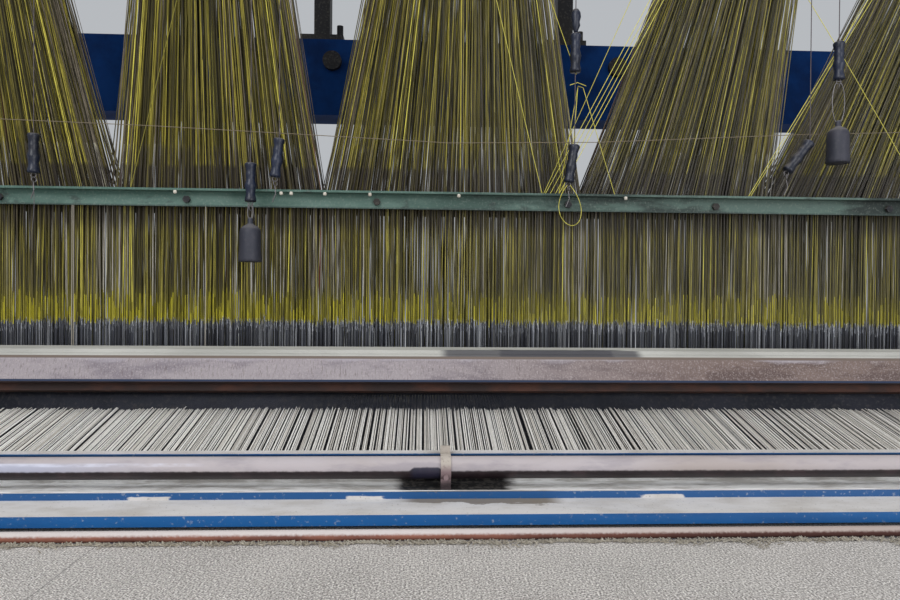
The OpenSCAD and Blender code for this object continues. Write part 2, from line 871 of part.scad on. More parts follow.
module shuttle_boxes() {
    color(iron) loom() on_sley() both_sides() {
        block([box_in, box_out - end_t], [-groove, groove - 2], [race_r, race_r + 50]);
        block([box_in, slot_x[0]], [-49, -groove], [race_r, race_r + float_h]);
        difference() {
            block([box_in, slot_x[0]], [-57, -49], [race_r - 15, race_r + float_h + 14]);
            slab(box_in - 1, slot_x[0] + 1) polygon([
                [-groove, race_r - 60], [-groove, race_r], [-groove - race_d, race_front],
                [-groove - race_d, race_r - 60]
            ]);
        }
        difference() {
            block([box_out - end_t, box_out], [-groove - race_d, groove], [race_front, race_r + 84]);
            slab(box_out - 20, box_out + 20) polygon([
                [-groove, race_r - 60], [-groove, race_r], [-groove - race_d, race_front],
                [-groove - race_d, race_r - 60]
            ]);
            block([box_out - 20, box_out + 20], [-groove, groove + 1], [race_r - 60, race_r]);
            block([box_out - 20, box_out + 20], [-140, -60], [race_r + 30, race_r + 90]);
        }
        block([slot_x[0] - 30, slot_x[0] - 16], [-40, groove - 2], [race_r + 50, race_r + 80]);
        rod(slot_x[0] - 16, box_out - end_t, [spindle_y, spindle_z], spindle_r);
    }
}

// Pickers slide on the spindles, and the sticks swing through their slots
picker_out = box_out - end_t - 2;
stick_x = picker_out - picker_l / 2;
stick_r = race_r + 40;
stick_y = [slot_y[0] + 2, slot_y[1] - 2];
pin_r = 10;

module picker() {
    difference() {
        union() {
            block([picker_out - picker_l, picker_out], [-50, -8], [race_r + 6, race_r + 78]);
            block([picker_out - picker_l, picker_out], [slot_y[0] - 8, -50], [race_r + 20, race_r + 56]);
        }
        rod(picker_out - picker_l - 1, picker_out + 1, [spindle_y, spindle_z], spindle_r + fit);
        block([stick_x - 20, stick_x + 20], [slot_y[0], slot_y[1]], [race_r, race_r + 90]);
    }
}

module picker_left() {
    color("#6b4a34") loom() on_sley() mirror([1, 0, 0]) picker();
}

module picker_right() {
    color("#6b4a34") loom() on_sley() picker();
}

module stick() {
    low = 38;
    front = stick_y[0] - 10;
    translate([stick_x, stick_y[1], 0]) rotate([90, 0, 0]) linear_extrude(stick_y[1] - stick_y[0])
        polygon([[-22, low], [22, low], [13, race_under - beam_h], [9, stick_r], [-9, stick_r],
            [-13, race_under - beam_h]]);
    block([stick_x - 16, stick_x + 16], [front, stick_y[1]], [low, 60]);
    block([stick_x - 16, stick_x + 16], [front, stick_y[0] - gap], [-16, 60]);
    translate([stick_x, front, 0]) rotate([-90, 0, 0]) cylinder(h = 40, r = pin_r);
}

module stick_left() {
    color("#8a6a42") loom() on_sley() mirror([1, 0, 0]) stick();
}

module stick_right() {
    color("#8a6a42") loom() on_sley() stick();
}

shuttle_x = box_in + 12;

module shuttle() {
    mid = shuttle_l / 2;
    nose = 95;
    d = 42;
    h = 30;
    color("#7a4e2c") loom() on_sley()
    translate([-shuttle_x - mid, -groove - gap - d / 2, race_r + float_h + gap]) difference() {
        union() {
            translate([-mid + nose, -d / 2, 0]) cube([shuttle_l - 2 * nose, d, h]);
            for (s = [-1, 1]) translate([s * (mid - nose), 0, h / 2]) rotate([0, s * 90, 0])
                intersection() {
                    cylinder(h = nose, r1 = 25, r2 = 3, $fn = 48);
                    translate([-h / 2, -d / 2, 0]) cube([h, d, nose]);
                }
        }
        translate([0, 0, h]) cube([shuttle_l - 2 * nose - 30, d - 16, 40], center = true);
    }
}

// Rollers below the breast beam
module journals(half, pos, r) {
    rod(-frame_out, frame_out, pos, r);
    rod(-half, half, pos, r + 6);
}

module take_up_roller() {
    p = take_up_pos();
    color(steel) loom() {
        rod(-cloth_half - 30, cloth_half + 30, p, take_up_r);
        journals(frame_in - 4, p, journal_r);
        difference() {
            rod(-frame_out - 60, -frame_out - 30, p, 95);
            rod(-frame_out - 61, -frame_out - 29, p, 80);
        }
        for (a = [0 : 60 : 150]) translate([0, p[0], p[1]]) rotate([a, 0, 0])
            block([-frame_out - 52, -frame_out - 38], [-82, 82], [-8, 8]);
        rod(-frame_out - 62, -frame_out, p, journal_r);
    }
}

module press_roller() {
    p = press_pos();
    color(steel) loom() {
        rod(-cloth_half - 10, cloth_half + 10, p, press_r);
        rod(-frame_out, frame_out, p, 10);
    }
}

module cloth_roll() {
    p = cloth_roll_pos();
    color("#a9a39c") loom() {
        rod(-cloth_half, cloth_half, p, cloth_roll_r);
        journals(frame_in - 4, p, journal_r);
    }
}

module warp_beam() {
    p = beam_pos();
    color("#b9b5ae") loom() {
        rod(-half_w - 6, half_w + 6, p, warp_r);
        both_sides() difference() {
            rod(half_w + 6, half_w + 18, p, flange_r);
            for (a = [0 : 60 : 300]) translate([0, p[0], p[1]]) rotate([a, 0, 0])
                rod(half_w + 5, half_w + 19, [warp_r + 45, 0], 24);
        }
        journals(frame_in - 4, p, journal_r + 7);
        translate([half_w + 24, p[0], p[1]]) rotate([90, 0, 90]) linear_extrude(24) difference() {
            spur_gear(let_off_module, beam_teeth);
            circle(journal_r);
        }
        rod(half_w + 18, half_w + 24, p, 90);
    }
}

module let_off_pinion() {
    p = let_off_pos();
    color(steel) loom() {
        translate([half_w + 22, p[0], p[1]]) rotate([90, 0, 90]) linear_extrude(28)
            rotate(let_off_phase()) spur_gear(let_off_module, let_off_teeth);
        rod(half_w + 22, frame_out + 46, p, 14);
        difference() {
            rod(frame_out + 22, frame_out + 40, p, 70);
            rod(frame_out + 21, frame_out + 41, p, 58);
        }
        for (a = [0, 90]) translate([0, p[0], p[1]]) rotate([a, 0, 0])
            block([frame_out + 26, frame_out + 36], [-60, 60], [-6, 6]);
    }
}

// Turns a pinion so that its tooth gap faces the tooth of the gear that it meets
function mesh_phase(big, small, a) =
    let (at_gear = a * big / 360, part = at_gear - floor(at_gear))
    a + 180 - (0.5 - part) * 360 / small;
function let_off_phase() = mesh_phase(beam_teeth, let_off_teeth, 135);
function motor_phase() = mesh_phase(main_teeth, pinion_teeth, -50);

module back_rest() {
    b = back_rest_pos();
    q = rest_pivot();
    x = [half_w + 14, half_w + 30];
    d = unit(b - q);
    n = left_of(d) * 22;
    color(steel) loom() {
        rod(-x[1], x[1], b, back_rest_r);
        both_sides() {
            slab(x[0], x[1]) {
                polygon([b + n, q + n, q - n, b - n]);
                translate(q) circle(26);
            }
            rod(x[0], frame_out, q, 12);
        }
    }
}

// Closed boxes that hold the cams between the main shaft and the rocking shaft
box_x = [frame_out + 2, frame_out + 118];

module cam_boxes() {
    m = main_pos();
    k = rock_pos();
    color("#3a5f55") loom() both_sides() difference() {
        union() {
            rod(box_x[0] - 2, box_x[1], m, 105);
            rod(box_x[0] - 2, box_x[1], k, 75);
            slab(box_x[0] - 2, box_x[1]) polygon([
                m + 105 * [cos(140), sin(140)], k + 75 * [cos(140), sin(140)],
                k + 75 * [cos(-40), sin(-40)], m + 105 * [cos(-40), sin(-40)]
            ]);
            rod(box_x[1], box_x[1] + 6, m, 60);
            rod(box_x[1], box_x[1] + 6, k, 48);
        }
        rod(box_x[0] - 5, box_x[1] + 10, m, main_r + fit);
        rod(box_x[0] - 5, box_x[1] + 10, k, rock_r + fit);
    }
}

gear_x = box_x[1] + 10;
gear_t = 32;

module main_shaft() {
    p = main_pos();
    w = 190;
    wheel_x = -gear_x - 30;
    color(steel) loom() {
        rod(wheel_x - 4, gear_x + gear_t + 6, p, main_r);
        difference() {
            rod(wheel_x, wheel_x + 26, p, w);
            rod(wheel_x - 1, wheel_x + 27, p, w - 28);
        }
        difference() {
            rod(wheel_x, wheel_x + 26, p, 46);
            rod(wheel_x - 1, wheel_x + 27, p, main_r - 1);
        }
        for (a = [0 : 72 : 288]) translate([0, p[0], p[1]]) rotate([a, 0, 0])
            block([wheel_x + 6, wheel_x + 20], [40, w - 20], [-12, 12]);
    }
}

module main_gear() {
    p = main_pos();
    r = drive_module * main_teeth / 2;
    color(iron) loom() translate([gear_x, p[0], p[1]]) rotate([90, 0, 90]) difference() {
        linear_extrude(gear_t) spur_gear(drive_module, main_teeth);
        translate([0, 0, -1]) cylinder(h = gear_t + 2, r = main_r);
        for (a = [0 : 60 : 300]) rotate(a) translate([r * 0.58, 0, -1]) cylinder(h = gear_t + 2, r = r * 0.2);
    }
}

motor_x = gear_x + gear_t + 26;

module motor() {
    p = motor_pos();
    r = 88;
    color("#55606a") loom() {
        difference() {
            union() {
                rod(motor_x, motor_x + 230, p, r);
                for (a = [-30 : 20 : 210]) translate([0, p[0], p[1]]) rotate([a, 0, 0])
                    block([motor_x + 20, motor_x + 190], [r - 4, r + 12], [-3, 3]);
            }
            rod(motor_x - 1, motor_x + 60, p, 14 + fit);
        }
        block([motor_x + 30, motor_x + 60], [p[0] - 70, p[0] + 70], [40, p[1] - 40]);
        block([motor_x + 160, motor_x + 190], [p[0] - 70, p[0] + 70], [40, p[1] - 40]);
        block([motor_x, motor_x + 230], [p[0] - 110, p[0] + 110], [0, 40]);
    }
}

module motor_pinion() {
    p = motor_pos();
    color(steel) loom() {
        translate([gear_x, p[0], p[1]]) rotate([90, 0, 90]) linear_extrude(gear_t)
            rotate(motor_phase()) spur_gear(drive_module, pinion_teeth);
        rod(gear_x, motor_x + 58, p, 14);
    }
}

// Handles and bell weights that hang on wires from the front cross beam, as
// [place across, handle's top, handle's lean, bell's top or 0, second handle's top or 0]
hangers = [
    [-752, 1444, 0, 0, 0], [-369, 1398, 0, 1299, 0], [-318, 1443, 6, 0, 0],
    [222, 1441, 9, 0, 1645], [721, 1642, 0, 1495, 0], [667, 1454, 38, 0, 0]
];
handle_l = 74;
wire_r = 1.5;

module bell(z) {
    rotate_extrude() polygon([
        [0, z], [9, z], [10, z - 14], [19, z - 24], [20, z - 74], [23, z - 82], [0, z - 82]
    ]);
}

module handle() {
    translate([0, 0, -handle_l]) cylinder(h = handle_l, r = 9);
    for (s = [0, 1, 2]) translate([0, 0, -s * handle_l / 2.6 - 14]) rotate_extrude()
        translate([6, 0]) circle(5.5);
}

module hanger(k) {
    g = hangers[k];
    top = g[1];
    translate([g[0], hanger_y, 0]) {
        translate([0, 0, top - 4]) cylinder(h = top_z - gap - top + 4, r = wire_r);
        translate([0, 0, top]) rotate([0, g[2], 0]) handle();
        if (g[4] > 0) translate([0, 0, g[4]]) handle();
        if (g[3] > 0) {
            translate([0, 0, g[3] - 4]) cylinder(h = top - handle_l - g[3] + 10, r = wire_r);
            bell(g[3]);
        }
    }
}

module hanger_1() {
    color(iron) loom() hanger(0);
}

module hanger_2() {
    color(iron) loom() hanger(1);
}

module hanger_3() {
    color(iron) loom() hanger(2);
}

module hanger_4() {
    color(iron) loom() hanger(3);
}

module hanger_5() {
    color(iron) loom() hanger(4);
}

module hanger_6() {
    color(iron) loom() hanger(5);
}

side_frame_left();
side_frame_right();
girts();
breast_beam();
rail_brackets();
temple_rail();
press_bar();
shaft_straps();
cloth();
warp();
lease_rods();
comber_board();
comber_rails();
comber_hangers();
rail_bolts();
harness_fans();
gantry_left();
gantry_right();
cross_beam_front();
cross_beam_rear();
low_beam();
beam_fittings();
head_left();
head_centre();
head_right();
sley_beam();
race_board();
sley_swords();
rock_shaft();
reed();
reed_cap();
shuttle_boxes();
picker_left();
picker_right();
stick_left();
stick_right();
shuttle();
start_shaft();
take_up_roller();
press_roller();
cloth_roll();
warp_beam();
let_off_pinion();
back_rest();
cam_boxes();
main_shaft();
main_gear();
motor();
motor_pinion();
griffe_a();
griffe_b();
harness_a();
harness_b();
hanger_1();
hanger_2();
hanger_3();
hanger_4();
hanger_5();
hanger_6();
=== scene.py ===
# %% [markdown]
# # Power loom
# A wide jacquard power loom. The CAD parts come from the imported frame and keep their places.
# Everything thinner than a finger is made here: yarns, harness cords, heddles, reed wires and
# the cloth. Depths are counted in metres from the fell, the line where cloth begins.

import json
import math

import bpy
import numpy as np
from mathutils import Matrix, Vector


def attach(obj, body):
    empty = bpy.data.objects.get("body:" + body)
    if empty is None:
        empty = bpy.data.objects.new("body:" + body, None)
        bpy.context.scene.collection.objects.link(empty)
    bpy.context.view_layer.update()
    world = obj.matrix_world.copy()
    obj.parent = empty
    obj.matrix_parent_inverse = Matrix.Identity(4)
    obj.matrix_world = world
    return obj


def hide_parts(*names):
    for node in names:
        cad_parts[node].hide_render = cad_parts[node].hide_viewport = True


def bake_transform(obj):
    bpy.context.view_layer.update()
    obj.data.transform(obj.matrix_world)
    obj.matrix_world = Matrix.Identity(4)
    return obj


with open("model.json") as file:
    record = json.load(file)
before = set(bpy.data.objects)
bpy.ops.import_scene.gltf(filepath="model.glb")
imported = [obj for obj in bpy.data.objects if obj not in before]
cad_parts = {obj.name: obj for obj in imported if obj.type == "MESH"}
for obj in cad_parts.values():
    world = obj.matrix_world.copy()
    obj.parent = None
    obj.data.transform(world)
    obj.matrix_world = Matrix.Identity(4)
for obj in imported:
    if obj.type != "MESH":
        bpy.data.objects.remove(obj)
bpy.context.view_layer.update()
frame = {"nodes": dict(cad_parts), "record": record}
random = np.random.default_rng(11)

# the fell's Y, the cloth's upper face and half its width
FELL = -0.425
CLOTH_Z = 0.9
HALF = 1.15
# harness columns across the width, and the distance between them
COLUMNS = 440
PITCH = 2 * HALF / COLUMNS
# slopes of the upper and the lower warp sheet in front of the heddles
UP, DOWN = 0.2615, 0.1
# first and last row of each harness group, and the height of its heddles' tops
GROUPS = {"a": (0.373, 0.413), "b": (0.425, 0.465)}
HEDDLE_TOP = {"a": 1.108, "b": 1.018}
ROWS = 6
# underside and top of the comber board, underside of the heads, stroke of a group
BOARD = (1.34, 1.352)
HEAD_Z = 2.572
LIFT = 0.09
# lengths of a heddle and of the lead weight under it
HEDDLE, LINGO = 0.30, 0.104
# height at which wires and cords are tied to the cross beam
BEAM_Z = 2.4497
# the sley's angle at rest and the height of its rocking shaft
SLEY_BACK = math.radians(16.5)
PIVOT_Z = 0.12


def column_x(i):
    return -HALF + (np.asarray(i) + 0.5) * PITCH


def rgb(hex_code):
    """Linear RGBA of an sRGB hex code."""
    c = [int(hex_code[k : k + 2], 16) / 255 for k in (1, 3, 5)]
    return tuple(v / 12.92 if v <= 0.04045 else ((v + 0.055) / 1.055) ** 2.4 for v in c) + (1,)


# %% [markdown]
# ## Small helpers for finishes
# A finish is layers of colour, each laid over the last where a mask is 1. A mask comes from the
# place on the part, from the way the face looks, or from a mottled pattern. Places are Object
# coordinates, which are the frame's metres while the loom rests, so patterns stay on their
# parts when these move. A pattern has the size of its real blots, in millimetres. A painted
# picture could do the same, but masks stay sharp from near and need no file.

# %% Helpers for finishes
def add(tree, kind, ins=None, out=0, **props):
    """One node, its settings and inputs; returns an output socket."""
    n = tree.nodes.new(kind)
    for k, v in props.items():
        setattr(n, k, v)
    for k, v in (ins or {}).items():
        if isinstance(v, bpy.types.NodeSocket):
            tree.links.new(v, n.inputs[k])
        else:
            n.inputs[k].default_value = v
    return n.outputs[out] if n.outputs else None


def mask(t, *parts):
    """1 where all parts are: each is a number, a socket, or (value, low, high), which rises
    smoothly from 0 at low to 1 at high and falls where high is the lower one."""
    product = 1.0
    for p in parts:
        if isinstance(p, tuple):
            ins = {0: p[0], 1: p[1], 2: p[2], 3: 0.0, 4: 1.0}
            p = add(t, "ShaderNodeMapRange", ins, interpolation_type="SMOOTHSTEP")
        product = add(t, "ShaderNodeMath", {0: product, 1: p}, operation="MULTIPLY")
    return product


def total(t, start, *terms):
    """start plus all terms; a term is a socket, or a socket and its weight."""
    for term in terms:
        socket, weight = term if isinstance(term, tuple) else (term, 1.0)
        ins = {0: socket, 1: weight, 2: start}
        start = add(t, "ShaderNodeMath", ins, operation="MULTIPLY_ADD")
    return start


def all_dirt(t, *parts):
    """Several layers of dirt together, at most 1."""
    return add(t, "ShaderNodeMath", {0: total(t, 0.0, *parts), 1: 1.0}, operation="MINIMUM")


def band(t, value, low, high, soft):
    """1 between low and high, fading over soft at both ends."""
    return mask(t, (value, low - soft, low), (value, high + soft, high))


def layer(t, under, over, *parts):
    """A colour laid over another where the mask of the parts is 1; a colour may be a hex code."""
    under, over = (rgb(c) if isinstance(c, str) else c for c in (under, over))
    ins = {0: mask(t, *parts), 6: under, 7: over}
    return add(t, "ShaderNodeMix", ins, out=2, data_type="RGBA")


def mottle(t, size, detail=3.0, stretch=(1, 1, 1), uv=None):
    """A cloudy pattern around 0.5 with blots of size millimetres; below 1, stretch draws it out."""
    at = uv or add(t, "ShaderNodeTexCoord", out=3)
    at = add(t, "ShaderNodeVectorMath", {0: at, 1: stretch}, operation="MULTIPLY")
    ins = {"Vector": at, "Scale": 1000 / size, "Detail": detail, "Roughness": 0.6}
    return add(t, "ShaderNodeTexNoise", ins)


def ragged(t, amount, *pattern):
    """A mottle around 0, amount metres from end to end, that makes a mask's edge uneven."""
    return total(t, -amount / 2, (mottle(t, *pattern), amount))


def place_on_part(t):
    """The X, Y and Z of a point on the part."""
    here = add(t, "ShaderNodeTexCoord", out=3)
    return [add(t, "ShaderNodeSeparateXYZ", {0: here}, out=k) for k in range(3)]


def facing_up(t):
    """How far a face looks up: the height of its normal."""
    normal = add(t, "ShaderNodeNewGeometry", out=1)
    return add(t, "ShaderNodeSeparateXYZ", {0: normal}, out=2)


def rough_by(t, dirt, clean, dusty=0.95):
    """Clean gloss where there is no dirt, dull where there is."""
    return add(t, "ShaderNodeMapRange", {0: dirt, 3: clean, 4: dusty})


def new_material(name):
    m = bpy.data.materials.new(name)
    m.use_nodes = True
    t = m.node_tree
    t.nodes.clear()
    print("finish", name)
    return m, t


def close(t, colour, rough, metal=0.0, bump=None, height=0.0004, sheen=0.0, gloss=0.5):
    """Principled shader and output at the end of a finish."""
    ins = {"Base Color": colour, "Roughness": rough, "Metallic": metal, "Specular IOR Level": gloss}
    if bump is not None:
        ins["Normal"] = add(t, "ShaderNodeBump", {"Strength": 0.6, "Distance": height, "Height": bump})
    if sheen:
        ins["Sheen Weight"] = sheen
    shader = add(t, "ShaderNodeBsdfPrincipled", ins)
    add(t, "ShaderNodeOutputMaterial", {"Surface": shader})


# %% [markdown]
# ## Finishes
# Paint, iron, steel, wood and yarn are all under the same pale lint dust of a weaving shed. On
# the real machine it settles on faces that look up, so each finish mixes dust in by the normal's
# height, broken up by a mottle. Dust is also dull, so it takes the gloss with it. Blots could be
# placed one by one, but here only the few that show in front are, and get a finish of their own.

# %% Finishes
def grimy(
    name, base, worn, dust="#a89f95", dusty=0.85, rough=0.5, metal=0.0, grain=(1, 1, 1),
    side_dust=0.12, bare=0.35, gloss=0.5,
):
    """Paint, iron or steel: two tones, fine grain, and lint dust lying on it.
    dusty is how dense the dust lies, bare how much of it is rubbed off in patches, side_dust
    how much clings to upright faces."""
    m, t = new_material(name)
    wear = mottle(t, 111.1, 5.0, grain)
    # real dust is finer than this; drawn at 6 mm it still shows from the weaver's place
    fine = mottle(t, 6.25, 2.0, grain)
    tone = layer(t, base, worn, (wear, 0.38, 0.66))
    blots = mottle(t, 62.5, 7.0, (0.3, 1.6, 1))
    rubbed = add(t, "ShaderNodeMapRange", {0: blots, 1: 0.3, 2: 0.6, 3: 1.0 - bare, 4: 1.0})
    lying = mask(t, (facing_up(t), 0.25, 0.8), rubbed, dusty)
    specks = mask(t, (fine, 0.5, 0.72), side_dust)
    dirt = all_dirt(t, lying, specks)
    colour = layer(t, tone, dust, dirt)
    # dust isn't metallic, so it hides that too; a finish without metal keeps a plain 0
    metallic = mask(t, total(t, 1.0, (dirt, -1.0)), metal) if metal else 0.0
    close(t, colour, rough_by(t, dirt, rough), metallic, fine, 0.0003, gloss=gloss)
    return m


MAT = {
    # brushed enamel of rails and breast beam: clear blue, half glossy where it is clean
    "blue_paint": grimy(
        "blue_enamel", "#1d5290", "#194679", dust="#b5ada3", dusty=0.97, rough=0.42, bare=0.12
    ),
    # the gantry's blue enamel, painted darker to stand for the shade it hangs in, and dull with hardly
    # any gloss
    "gantry_paint": grimy(
        "blue_enamel_painted_shade", "#0b3a78", "#072a5c", dust="#6d6f78", dusty=0.5, rough=0.7,
        side_dust=0.01, gloss=0.1,
    ),
    # grey-green enamel on the cast housings of the heads, half glossy between the dust
    "dark_green_paint": grimy("machine_green_enamel", "#3a5e54", "#324f47", rough=0.45),
    # sand-cast iron, unpainted: nearly black, only half metallic under its oxide
    "cast_iron": grimy("cast_iron", "#26272c", "#34322f", rough=0.6, metal=0.5),
    # turned steel, rubbed bright by use and browned by oil
    "worn_steel": grimy("worn_steel", "#8a8780", "#6d675e", rough=0.38, metal=0.85),
    # rolled reed wire, blued and kept clean by the warp
    "reed_steel": grimy("reed_steel", "#33353f", "#272a33", rough=0.4, metal=0.7, dusty=0.2),
    # hardwood: sawn and dry on the comber board, oiled on the sley, worn smooth by the shuttle
    # on the race; its grain is drawn out along X
    "board_wood": grimy("comber_wood", "#6b5a45", "#54452f", rough=0.7, grain=(1, 9, 9)),
    "sley_wood": grimy("oiled_wood", "#6e5a44", "#4c3b2b", rough=0.6, grain=(1, 12, 12)),
    "race_wood": grimy("polished_wood", "#8a7355", "#6f5a40", rough=0.45, grain=(1, 12, 12)),
    # pressed rawhide of the pickers, dull and brown
    "picker_leather": grimy("rawhide", "#6b4a32", "#523826", rough=0.65),
    # sprayed enamel of the motor, grey and even
    "motor_paint": grimy("grey_enamel", "#54606b", "#46505a", rough=0.45),
    # tied cotton, matt and off-white
    "cotton_knot": grimy("cotton_knot", "#cfc9bd", "#b5aea1", dust="#d5d0c6", rough=0.9),
    # moulded plastic of the grips, blue-black and smooth, with little dust on it
    "black_plastic": grimy(
        "black_plastic", "#0e1424", "#18223a", rough=0.38, dusty=0.22, side_dust=0.04
    ),
}


# %% [markdown]
# The reed cap is worn paint under streaky dust, with a rusty lip below and one patch on its crown
# wiped dark by hands. Its places are those of the upright sley: back counts across it, up from
# the rocking shaft.

# %% Finish of the reed cap
def cap_finish():
    m, t = new_material("reed_cap_enamel")
    x, y, z = place_on_part(t)
    away, rise = total(t, -FELL, y), total(t, -PIVOT_Z, z)
    cos, sin = math.cos(SLEY_BACK), math.sin(SLEY_BACK)
    back = total(t, 0.0, (away, cos), (rise, -sin))
    up = total(t, 0.0, (away, sin), (rise, cos))
    cloud = mottle(t, 62.5, 7.0, (0.5, 1, 1.8))
    grain = mottle(t, 2.6316, 4.0)
    # the front is paler on the left, browner on the right
    right = mask(t, (x, -0.2, 0.5))
    side = layer(t, "#9c9498", "#75645e", right)
    side = layer(t, side, layer(t, "#837b82", "#5b4a46", right), (cloud, 0.46, 0.62))
    side = layer(t, side, "#bdb3b3", (grain, 0.48, 0.72), 0.5)
    streaks = mottle(t, 6.667, 4.0, (4, 1, 0.6))
    side = layer(t, side, "#5d4f4e", (streaks, 0.52, 0.68), 0.55)
    high = total(t, -0.025, up, (cloud, 0.05))
    side = layer(t, side, "#b7b1b8", (high, 0.955, 0.964), 0.6)
    rubbed = band(t, x, 0.10, 0.25, 0.03)
    side = layer(t, side, "#d3d1d6", rubbed, (up, 0.957, 0.963), (grain, 0.35, 0.55), 0.7)
    # the crown: even dust, and the wiped patch with its dark rim at the front
    crown = layer(t, "#bab9b3", "#a5a49e", (mottle(t, 83.33, 5.0, (0.4, 1, 1)), 0.35, 0.7))
    crown = layer(t, crown, "#8a887c", (grain, 0.55, 0.72), 0.3)
    uneven = ragged(t, 0.022, 55.56, 5.0, (0.4, 1, 1))
    uneven_back = total(t, back, uneven)
    uneven_x = total(t, x, (uneven, 3.0))
    wiped = mask(t, (uneven_back, -0.024, -0.030), band(t, uneven_x, 0.085, 0.27, 0.04), 0.9)
    rim = mask(t, (uneven_back, -0.030, -0.034), band(t, x, -0.01, 0.31, 0.02), 0.8)
    dark = add(t, "ShaderNodeMath", {0: wiped, 1: rim}, operation="MAXIMUM")
    crown = layer(t, crown, "#2b2a36", dark)
    crown = layer(t, crown, "#6d6058", band(t, facing_up(t), 0.36, 0.62, 0.08))
    colour = layer(t, side, crown, (facing_up(t), 0.30, 0.40))
    # the lip below: rust, with a line of old blue paint above it, painted dark navy for the shade under
    # the cap
    rust = layer(t, "#2a1a17", "#49291d", (mottle(t, 40.0, 6.0, (0.5, 1, 1)), 0.4, 0.65))
    colour = layer(t, colour, rust, (up, 0.9212, 0.9205))
    colour = layer(t, colour, "#1c2c48", band(t, up, 0.9205, 0.9235, 0.0006))
    close(t, colour, 0.75, 0.0, grain, 0.0002)
    return m


# %% [markdown]
# The guard rail is blue enamel under pale lint. Hands have wiped the shelf beside the middle
# strap, oil has turned the dust of the trough dark there, and three tufts of lint have dropped
# over the front edge. The rest of the trough is laid near white, a painted light where the
# shaft shades it. Depths here count from the fell.

# %% Finish of the guard rail
def rail_finish():
    m, t = new_material("guard_rail_enamel")
    x, y, z = place_on_part(t)
    y = total(t, -FELL, y)
    fine = mottle(t, 6.25, 2.0)
    blots = mottle(t, 71.43, 7.0, (0.3, 1, 1))
    thin = add(t, "ShaderNodeMapRange", {0: blots, 1: 0.3, 2: 0.5, 3: 0.9, 4: 1.0})
    lying = mask(t, (facing_up(t), 0.3, 0.7), thin)
    specks = mask(t, (mottle(t, 4.7619), 0.6, 0.72), 0.35)
    blue = layer(t, "#1a5f9e", "#184f88", (mottle(t, 200.0, 5.0, (0.4, 1, 3)), 0.4, 0.65))
    blue = layer(t, blue, "#164f86", (y, -0.106, -0.102))
    dust = layer(t, "#d0cdcc", "#bcb7b2", (mottle(t, 33.33, 6.0, (0.5, 1, 1)), 0.35, 0.7))
    dust = layer(t, dust, "#7d7873", (mottle(t, 3.0303, 2.0), 0.64, 0.72), 0.55)
    uneven = ragged(t, 0.05, 28.57, 6.0, (0.5, 1, 1))
    uneven_x, uneven_y = total(t, x, uneven), total(t, y, uneven)
    shelf = mask(t, band(t, x, -0.06, 0.09, 0.03), (uneven_y, -0.119, -0.116), (y, -0.095, -0.1))
    dust = layer(t, dust, "#7d7468", shelf)
    inside = (z, 0.951, 0.949)
    oily = mask(t, band(t, uneven_x, -0.075, 0.045, 0.02), (y, -0.098, -0.093), inside)
    dust = layer(t, dust, layer(t, "#1d1b1c", "#4b4743", (fine, 0.45, 0.6)), oily)
    # painted light: the trough behind the upstand is laid near white where the shaft shades it
    painted_light_trough = mask(t, (y, -0.0985, -0.0975), inside, total(t, 1.0, (oily, -1.0)))
    lint = layer(t, "#fbfaf8", "#c9c5c0", (mottle(t, 14.286, 5.0, (0.3, 1, 1)), 0.4, 0.65))
    dust = layer(t, dust, lint, painted_light_trough)
    crest = mask(t, (total(t, z, (uneven, 0.02)), 0.9584, 0.9588))
    web = mask(t, (y, -0.047, -0.045), inside)
    ends = (-0.393, -0.351), (-0.14, -0.099), (0.215, 0.257)
    tufts = total(t, 0.0, *(band(t, uneven_x, a, b, 0.004) for a, b in ends))
    drop = total(t, z, (uneven, 0.1))
    tufts = mask(t, tufts, (drop, 0.9235, 0.9225), (y, -0.112, -0.106))
    dirt = all_dirt(t, lying, specks, crest, web, tufts)
    close(t, layer(t, blue, dust, dirt), rough_by(t, dirt, 0.42), 0.0, fine, 0.0003)
    return m


# %% [markdown]
# The starting shaft is maroon enamel that keeps its dust on the upper side, wiped where the hand
# passes beside the strap, with a painted highlight on its left. The press bar is rusty below and
# dusty above. The comber rail's green is chipped and darker to the right. The straps are flat
# steel, dusty at the top, with painted shade on their lower ends.

# %% Finishes of the shaft, the press bar, the comber rail and the straps
def shaft_finish():
    m, t = new_material("maroon_enamel")
    x = place_on_part(t)[0]
    wave = ragged(t, 0.16, 7.143, 6.0)
    wiped = mask(t, band(t, x, -0.064, -0.036, 0.008), 0.32)
    level = total(t, facing_up(t), wave, (wiped, -1.0))
    dust = layer(t, "#b3abae", "#a69b97", (mottle(t, 125.0, 5.0, (0.3, 1, 1)), 0.35, 0.65))
    dust = layer(t, dust, "#857f88", (mottle(t, 38.46, 7.0, (0.3, 1, 1)), 0.5, 0.64), 0.45)
    # painted highlight: on the left the shaft's sides turn bluish white, and a glint lies on its
    # shoulder
    dust_and_left_sheen = layer(t, dust, "#a9aaba", (x, -0.35, -0.55))
    dust = layer(t, dust, dust_and_left_sheen, (facing_up(t), 0.75, 0.45))
    left, shoulder = band(t, x, -0.62, -0.36, 0.05), band(t, facing_up(t), 0.42, 0.56, 0.12)
    glint = mask(t, left, shoulder, (mottle(t, 8.333, 5.0, (0.3, 1, 1)), 0.35, 0.7))
    dust = layer(t, dust, "#dfe3f2", glint, 0.45)
    paint = layer(t, "#21171a", "#332528", (mottle(t, 25.0, 4.0), 0.45, 0.7))
    paint = layer(t, paint, "#2a3354", wiped)
    cover = mask(t, (level, -0.16, 0.02))
    close(t, layer(t, paint, dust, cover), rough_by(t, cover, 0.45), 0.0, mottle(t, 5.0), 0.0002)
    return m


